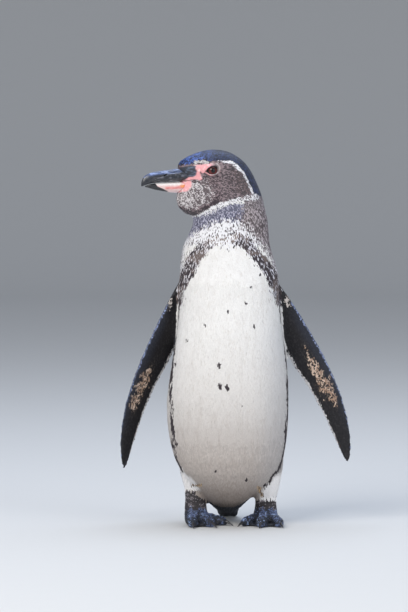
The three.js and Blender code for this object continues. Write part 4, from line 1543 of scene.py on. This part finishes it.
def upper_bill_colour(points, along, height):
    """Black horn with a painted blue highlight along the ridge, browner by the nostril."""
    colour = np.tile(HORN_BLACK, (len(points), 1))
    lay = partial(cover, colour)
    streak = cloud(points * np.array([0.35, 1, 1]), 1.6, 72)
    # Painted highlight of the sky: blue over the top of the bill, with pale streaks
    ridge = ease(height - np.interp(along, *np.transpose(RIDGE_LINE)), -1, 2.5)
    lay(ridge * (0.35 + 0.6 * ease(streak, 0.3, 0.8)), RIDGE_SKY_HIGHLIGHT)
    lay(ridge * ease(streak, 0.60, 0.80), RIDGE_PALE_HIGHLIGHT)
    low = 1 - ease(height, 407, 411)
    lay(low * ease(streak, 0.5, 0.8) * ease(along, 98, 90) * 0.6, EDGE_BROWN)
    lay(ease(streak, 0.62, 0.85) * ease(along, 94, 84) * 0.5, STREAK_GREY)
    lay(1 - ease(along, 49, 58), LORE_GREY)
    side = np.stack([along, height], 1)
    # Painted shade inside the nostril slit
    lay(stroke(side, NOSTRIL_SHADE, 0.9, 0.8), SHADE_IN_NOSTRIL)
    return colour


def lower_bill_colour(points, along, height):
    """Pale pink horn with an orange base, black at the tip and keel."""
    colour = np.tile(HORN_PINK, (len(points), 1))
    lay = partial(cover, colour)
    wobble = cloud(points, 2.2, 73) - 0.5
    side = np.stack([along, height], 1) + wobble[:, None] * np.array([2.5, 1.0])
    streak = cloud(points * np.array([0.4, 1, 1]), 1.3, 74)
    lay(stroke(side, CUTTING_EDGE, 1.6, 2.2), EDGE_WHITE)
    lay(stroke(side, RED_STREAK, 1.5, 2.2) * (0.5 + 0.5 * streak), JAW_RED)
    lay(stroke(side, ORANGE_CORNER, 1.7, 2.2), JAW_ORANGE)
    lay((1 - ease(height, 392.5, 395)) * (1 - ease(along, 66, 72)), PALE_PINK)
    keel = np.interp(side[:, 0], *np.transpose(KEEL_LINE))
    dark = ease(keel - side[:, 1], -0.6, 0.6)
    lay(dark, TIP_BLACK)
    lay(ease(streak, 0.72, 0.9) * (1 - dark) * 0.35, STREAK_BROWN)
    return colour


def build_bill():
    """The two halves of the bill, each with its grooves and colours."""
    bill = bpy.context.scene.penguin_bill
    for node, slot in (("bill_upper", "bill_horn"), ("bill_lower", "bill_lower_horn")):
        mesh, points, outward = horn_piece(node, bill.voxel, 30)
        along, across, height = head_axes(points)
        if node == "bill_upper":
            relief = upper_bill_relief(along, height, bill) * (np.abs(across) > 1.5)
            colour = upper_bill_colour(points, along, height)
        else:
            relief = -0.2 * stroke(np.stack([along, height], 1), LOWER_GROOVE, 0.6, 1.0)
            colour = lower_bill_colour(points, along, height)
        points += outward * relief[:, None]
        finish_piece(node + "_horn", mesh, points, colour, "bill horn", slot, node)


CLAW_BLACK = (0.018, 0.018, 0.021)
CLAW_WEAR = (0.035, 0.034, 0.036)


def build_claws():
    """All eight claws, each a tapering horn with fine growth rings."""
    feet = bpy.context.scene.penguin_feet
    for side in SIDES:
        for toe in ("inner", "middle", "outer", "hallux"):
            node = f"claw_{toe}_{side}"
            mesh, points, outward = horn_piece(node, feet.claw_voxel, 12)
            growth = np.sin(points[:, 1] * 5.0 + 2 * cloud(points, 2, 81))
            points += outward * (0.03 * growth)[:, None]
            points[:, 2] = np.maximum(points[:, 2], 0.02)
            worn = ease(cloud(points, 1.8, 82), 0.5, 0.85)[:, None]
            colour = np.asarray(CLAW_BLACK) + worn * np.asarray(CLAW_WEAR)
            finish_piece(
                node + "_horn", mesh, points, colour, "claw horn", "claw_horn", node)


def turned_faces(rings, turns, closed):
    """The faces of a turned shape: a pole, rings of vertices and, if closed, another pole."""
    faces = []
    last_ring = 1 + (rings - 1) * turns
    for turn in range(turns):
        nxt = (turn + 1) % turns
        faces.append((0, 1 + turn, 1 + nxt))
        for row in range(1, last_ring, turns):
            faces.append((row + turn, row + turns + turn, row + turns + nxt, row + nxt))
        if closed:
            faces.append((last_ring + turn, last_ring + turns, last_ring + nxt))
    return faces


EYE_STEPS = 60
EYE_TURNS = 72
DOME_SPREAD = math.radians(34)
EYE_FIBRES = 22
PUPIL_BLACK = 0.004
EYE_RIM = (0.020, 0.014, 0.013)


def eyeball(centre, out, aside, up):
    """The points of an eyeball with a domed cornea, ring by ring from its front."""
    eyes = bpy.context.scene.penguin_eyes
    ball, bulge = eyes.diameter / 2 / MM, eyes.cornea_bulge / MM
    angles = math.pi * np.arange(1, EYE_STEPS) / EYE_STEPS
    dome = ball + bulge * np.exp(-(angles / DOME_SPREAD) ** 2)
    points = [centre + out * (ball + bulge)]
    for angle, radius in zip(angles, dome):
        for turn in range(EYE_TURNS):
            phase = 2 * math.pi * turn / EYE_TURNS
            rim = math.cos(phase) * aside + math.sin(phase) * up
            points.append(centre + radius * (math.cos(angle) * out + math.sin(angle) * rim))
    return np.array([*points, centre - out * ball])


def eye_colour(offset, out, aside, up):
    """The colours of an eyeball, from its points' offsets from its centre."""
    eyes = bpy.context.scene.penguin_eyes
    pupil, iris, ball = eyes.pupil / 2 / MM, eyes.iris / 2 / MM, eyes.diameter / 2 / MM
    reach = np.where(offset @ out > 0, np.linalg.norm(
        offset - (offset @ out)[:, None] * out, axis=1), ball)
    phase = np.arctan2(offset @ up, offset @ aside)
    spokes = np.stack([np.round(phase * EYE_FIBRES), phase * 0, phase * 0], 1)
    fibres = 0.75 + 0.5 * lattice(spokes, 3)
    colour = np.asarray(eyes.iris_colour)[None, :3] * fibres[:, None]
    colour = colour * (0.6 + 0.6 * ease(reach, 2.2, 3.6))[:, None]
    # Painted shadow of the upper lid over the top of the eyeball
    colour *= (1 - 0.7 * ease(offset @ up, 0.5, 3.0))[:, None]
    cover(colour, 1 - ease(reach, pupil - 0.25, pupil + 0.25), PUPIL_BLACK)
    cover(colour, ease(reach, iris - 0.3, iris + 0.3), EYE_RIM)
    return colour


def build_eyes():
    """Both eyes: a ball with a domed cornea, a brown iris and a black pupil."""
    up = np.array([0, 0, 1.0])
    for side in SIDES:
        centre, out = eye_axes(side)
        aside = np.cross(up, out)
        points = eyeball(centre, out, aside, up)
        mesh = bpy.data.meshes.new("eyeball")
        mesh.from_pydata(points.tolist(), [], turned_faces(EYE_STEPS - 1, EYE_TURNS, True))
        finish_piece("eyeball_" + side, mesh, points, eye_colour(points - centre, out, aside, up),
                     "wet eye", "eye", "eye_" + side)


# ---------------------------------------------------------------- stage

FLOOR_RINGS = (0.5, 2.0)
FLOOR_BEND = 1.4
FLOOR_STEPS = 14
FLOOR_TURNS = 96
# Each light: its name, place in metres, size and colour
LIGHTS = (
    ("key", (-1.3, -2.0, 2.0), 1.6, (1.0, 0.975, 0.94)),
    ("fill", (2.0, -1.9, 1.1), 1.8, (0.93, 0.96, 1.0)),
    ("sky", (0.2, 0.5, 2.4), 2.2, (0.72, 0.82, 1.0)),
)
LIGHTS_AIM = Vector((0, 0, 0.24))
SURROUND_COLOUR = (0.80, 0.87, 1.0, 1)
CAMERA_AIM = Vector((-0.0373, 0.0, 0.2576))
SENSOR = 36


def studio_paint(colour):
    """A matt paint of one colour, a little uneven in its roughness."""
    paint = bpy.data.materials.new("studio paint")
    paint.use_nodes = True
    wiring = Wiring(paint.node_tree)
    shader = paint.node_tree.nodes["Principled BSDF"]
    shader.inputs["Base Color"].default_value = (*colour, 1)
    place = wiring.add("ShaderNodeTexCoord")
    noise = wiring.add("ShaderNodeTexNoise", {"Vector": place.outputs["Object"], "Scale": 40.0})
    rough = wiring.add("ShaderNodeMapRange", {
        "Value": noise.outputs["Fac"], "To Min": 0.75, "To Max": 0.95})
    paint.node_tree.links.new(rough.outputs["Result"], shader.inputs["Roughness"])
    return paint


def build_floor(stage):
    """A plain round floor that curves up at its edge."""
    profile = [(radius, 0.0) for radius in (*FLOOR_RINGS, stage.floor_radius)]
    for step in range(1, FLOOR_STEPS + 1):
        rise = math.pi / 2 * step / FLOOR_STEPS
        profile.append((
            stage.floor_radius + FLOOR_BEND * math.sin(rise), FLOOR_BEND * (1 - math.cos(rise))))
    points = [(0.0, 0.0, 0.0)]
    for radius, height in profile:
        for turn in range(FLOOR_TURNS):
            phase = 2 * math.pi * turn / FLOOR_TURNS
            points.append((radius * math.cos(phase), radius * math.sin(phase), height))
    mesh = bpy.data.meshes.new("studio_floor")
    mesh.from_pydata(points, [], turned_faces(len(profile), FLOOR_TURNS, False))
    shade_smooth(mesh)
    mesh.materials.append(studio_paint(stage.floor_colour))
    new_object("studio_floor", mesh)


def place_lights(stage):
    """Three soft lights and an even surround."""
    for name, place, size, colour in LIGHTS:
        light = bpy.data.lights.new(name, "AREA")
        light.shape = "SQUARE"
        light.size = size
        light.energy = getattr(stage, name + "_power")
        light.color = colour
        lamp = new_object(name, light)
        lamp.location = place
        lamp.rotation_euler = (LIGHTS_AIM - lamp.location).to_track_quat("-Z", "Y").to_euler()
    world = bpy.data.worlds.new("studio")
    world.use_nodes = True
    background = world.node_tree.nodes["Background"]
    background.inputs["Color"].default_value = SURROUND_COLOUR
    background.inputs["Strength"].default_value = stage.world_strength
    bpy.context.scene.world = world
    bpy.context.scene.view_settings.view_transform = "Standard"


def place_camera(stage):
    """A long lens before the bird, that looks down a little."""
    lens = bpy.data.cameras.new("camera")
    lens.sensor_width = SENSOR
    lens.lens = SENSOR * stage.camera_distance / stage.view_height
    lens.clip_end = 50
    camera = new_object("camera", lens)
    back = Vector((0, -math.cos(VIEW_TILT), math.sin(VIEW_TILT)))
    camera.location = CAMERA_AIM + back * stage.camera_distance
    camera.rotation_euler = (math.pi / 2 - VIEW_TILT, 0, 0)
    bpy.context.scene.camera = camera


# ---------------------------------------------------------------- settings

def number(name, description, default, **more):
    """A property that holds a number."""
    return bpy.props.FloatProperty(name=name, description=description, default=default, **more)


def length(name, description, default):
    """A property that holds a length."""
    return number(name, description, default, min=0, unit="LENGTH", precision=5)


def angle(name, description, default):
    """A property that holds an angle, given in degrees."""
    return number(name, description, math.radians(default), subtype="ANGLE")


def power(name, description, default):
    """A property that holds the power of a light."""
    return number(name, description, default, min=0, unit="POWER")


def colour_of(name, description, default):
    """A property that holds a colour."""
    return bpy.props.FloatVectorProperty(
        name=name, description=description, default=default, subtype="COLOR", min=0, max=1)


class PenguinPlumage(bpy.types.PropertyGroup):
    """Sizes of the skin and the feathers."""
    skin_voxel: length("Skin detail", "Grid size of the skin", 0.9 * MM)
    skin_faces: number("Skin faces", "Triangles of the finished skin", 185000)
    skin_smoothing: number("Skin smoothing", "Rounds of smoothing over the skin", 40)
    body_length: length("Body feather", "Length of a body feather", 7.4 * MM)
    body_width: length("Body feather width", "Width of a body feather", 1.9 * MM)
    body_spacing: length("Body spacing", "Least distance between body feathers", 1.18 * MM)
    neck_length: length("Neck feather", "Length of a neck feather", 4.4 * MM)
    neck_width: length("Neck feather width", "Width of a neck feather", 1.15 * MM)
    neck_spacing: length("Neck spacing", "Least distance between neck feathers", 0.89 * MM)
    head_length: length("Head feather", "Length of a head feather", 3.0 * MM)
    head_width: length("Head feather width", "Width of a head feather", 1.0 * MM)
    head_spacing: length("Head spacing", "Least distance between head feathers", 0.78 * MM)
    face_length: length("Face feather", "Length of a face feather", 2.4 * MM)
    face_width: length("Face feather width", "Width of a face feather", 0.85 * MM)
    face_spacing: length("Face spacing", "Least distance between face feathers", 0.62 * MM)
    wing_length: length("Wing feather", "Length of a wing feather", 2.8 * MM)
    wing_width: length("Wing feather width", "Width of a wing feather", 1.3 * MM)
    wing_spacing: length("Wing spacing", "Least distance between wing feathers", 0.96 * MM)
    tail_length: length("Tail feather", "Length of a tail feather", 22 * MM)
    tail_width: length("Tail feather width", "Width of a tail feather", 4.6 * MM)
    tail_spacing: length("Tail spacing", "Least distance between tail feathers", 3.4 * MM)
    lift: angle("Lift", "How far a feather stands off the skin", 3.4)
    sway: angle("Sway", "How far a feather turns aside at random", 6)


class PenguinBill(bpy.types.PropertyGroup):
    """Sizes of the bill's surface detail."""
    voxel: length("Bill detail", "Grid size of the bill", 0.36 * MM)
    groove_depth: length("Groove depth", "Depth of the grooves between the plates", 0.4 * MM)
    nostril_length: length("Nostril length", "Length of the nostril slit", 3.4 * MM)
    nostril_width: length("Nostril width", "Width of the nostril slit", 1.0 * MM)
    nostril_depth: length("Nostril depth", "Depth of the nostril slit", 1.3 * MM)


class PenguinEyes(bpy.types.PropertyGroup):
    """Sizes and colours of the eyes."""
    diameter: length("Eyeball", "Diameter of the eyeball", 12.5 * MM)
    cornea_bulge: length("Cornea", "How far the cornea stands out", 0.4 * MM)
    iris: length("Iris", "Diameter of the iris", 9.8 * MM)
    pupil: length("Pupil", "Diameter of the pupil", 5.2 * MM)
    opening_length: length("Opening length", "Length between the corners of the lids", 12.0 * MM)
    opening_height: length("Opening height", "Height between the lids", 8.0 * MM)
    iris_colour: colour_of("Iris colour", "Colour of the iris", (0.105, 0.016, 0.014))


class PenguinFeet(bpy.types.PropertyGroup):
    """Sizes of the scales and claws."""
    scale_length: length("Scale", "Length of a scale", 1.5 * MM)
    scale_width: length("Scale width", "Width of a scale", 2.1 * MM)
    scale_spacing: length("Scale spacing", "Least distance between scales", 1.25 * MM)
    claw_voxel: length("Claw detail", "Grid size of a claw", 0.26 * MM)


class PenguinStage(bpy.types.PropertyGroup):
    """Floor, lights and camera."""
    floor_colour: colour_of("Floor colour", "Colour of the floor and wall", (0.62, 0.615, 0.60))
    key_power: power("Key light", "Power of the key light", 60)
    fill_power: power("Fill light", "Power of the fill light", 24)
    sky_power: power("Sky light", "Power of the light above", 40)
    world_strength: number("Surround", "Strength of the even surround light", 0.45)
    floor_radius: length("Floor radius", "Radius of the flat part of the floor", 5.4)
    camera_distance: length("Camera distance", "Distance of the camera", 4.5)
    view_height: length("View height", "Height of the camera's view at the bird", 0.7222)


# ---------------------------------------------------------------- operators

class PENGUIN_OT_skin(bpy.types.Operator):
    """Build the skin over the head, body, wings, tail, legs and feet"""
    bl_idname = "penguin.skin"
    bl_label = "Skin"

    def execute(self, context):
        settle(build_skin(), "skin", "plumage_pale", *FLESH)
        return {"FINISHED"}


class PENGUIN_OT_body_feathers(bpy.types.Operator):
    """Lay the feathers of the trunk, thighs and neck"""
    bl_idname = "penguin.body_feathers"
    bl_label = "Body Feathers"

    def execute(self, context):
        for zone in ("breast", "belly", "back", "rump", "neck"):
            lay_coat(zone)
        return {"FINISHED"}


class PENGUIN_OT_head_feathers(bpy.types.Operator):
    """Lay the short feathers of the crown and face"""
    bl_idname = "penguin.head_feathers"
    bl_label = "Head Feathers"

    def execute(self, context):
        for zone in ("crown", "face"):
            lay_coat(zone)
        return {"FINISHED"}


class PENGUIN_OT_wing_feathers(bpy.types.Operator):
    """Lay the scale-like feathers of both wings"""
    bl_idname = "penguin.wing_feathers"
    bl_label = "Wing Feathers"

    def execute(self, context):
        for side in SIDES:
            lay_coat("wing_" + side)
        return {"FINISHED"}


class PENGUIN_OT_tail_feathers(bpy.types.Operator):
    """Lay the long stiff feathers of the tail"""
    bl_idname = "penguin.tail_feathers"
    bl_label = "Tail Feathers"

    def execute(self, context):
        lay_coat("tail")
        return {"FINISHED"}


class PENGUIN_OT_foot_scales(bpy.types.Operator):
    """Lay the scales of the shanks, toes and webs"""
    bl_idname = "penguin.foot_scales"
    bl_label = "Foot Scales"

    def execute(self, context):
        for side in SIDES:
            lay_coat("foot_" + side)
        return {"FINISHED"}


class PENGUIN_OT_bill(bpy.types.Operator):
    """Build both halves of the bill"""
    bl_idname = "penguin.bill"
    bl_label = "Bill"

    def execute(self, context):
        build_bill()
        return {"FINISHED"}


class PENGUIN_OT_claws(bpy.types.Operator):
    """Build the eight claws"""
    bl_idname = "penguin.claws"
    bl_label = "Claws"

    def execute(self, context):
        build_claws()
        return {"FINISHED"}


class PENGUIN_OT_eyes(bpy.types.Operator):
    """Build both eyes"""
    bl_idname = "penguin.eyes"
    bl_label = "Eyes"

    def execute(self, context):
        build_eyes()
        return {"FINISHED"}


class PENGUIN_OT_stage(bpy.types.Operator):
    """Set up the floor, the lights and the camera"""
    bl_idname = "penguin.stage"
    bl_label = "Stage"

    def execute(self, context):
        stage = context.scene.penguin_stage
        build_floor(stage)
        place_lights(stage)
        place_camera(stage)
        return {"FINISHED"}


GROUPS = {
    "penguin_plumage": PenguinPlumage, "penguin_bill": PenguinBill, "penguin_eyes": PenguinEyes,
    "penguin_feet": PenguinFeet, "penguin_stage": PenguinStage,
}
OPERATORS = (
    PENGUIN_OT_skin, PENGUIN_OT_body_feathers, PENGUIN_OT_head_feathers,
    PENGUIN_OT_wing_feathers, PENGUIN_OT_tail_feathers, PENGUIN_OT_foot_scales,
    PENGUIN_OT_bill, PENGUIN_OT_claws, PENGUIN_OT_eyes, PENGUIN_OT_stage,
)


class PENGUIN_PT_panel(bpy.types.Panel):
    """Lists the steps and the sizes of the penguin"""
    bl_label = "Penguin"
    bl_idname = "PENGUIN_PT_panel"
    bl_space_type = "VIEW_3D"
    bl_region_type = "UI"
    bl_category = "Penguin"

    def draw(self, context):
        for operator in OPERATORS:
            self.layout.operator(operator.bl_idname)
        for name, group in GROUPS.items():
            box = self.layout.box()
            for key in group.__annotations__:
                box.prop(getattr(context.scene, name), key)


CLASSES = (*GROUPS.values(), *OPERATORS, PENGUIN_PT_panel)


def register():
    """Registers the classes and the settings."""
    for kind in CLASSES:
        bpy.utils.register_class(kind)
    for name, group in GROUPS.items():
        setattr(bpy.types.Scene, name, bpy.props.PointerProperty(type=group))


def unregister():
    """Removes the settings and the classes."""
    for name in GROUPS:
        delattr(bpy.types.Scene, name)
    for kind in reversed(CLASSES):
        bpy.utils.unregister_class(kind)


def main():
    """Builds every piece in order."""
    register()
    for operator in OPERATORS:
        group, name = operator.bl_idname.split(".")
        getattr(getattr(bpy.ops, group), name)()
    for name in ("vane", "scute"):
        if name in bpy.data.objects:
            discard(bpy.data.objects[name])


if __name__ == "__main__":
    main()
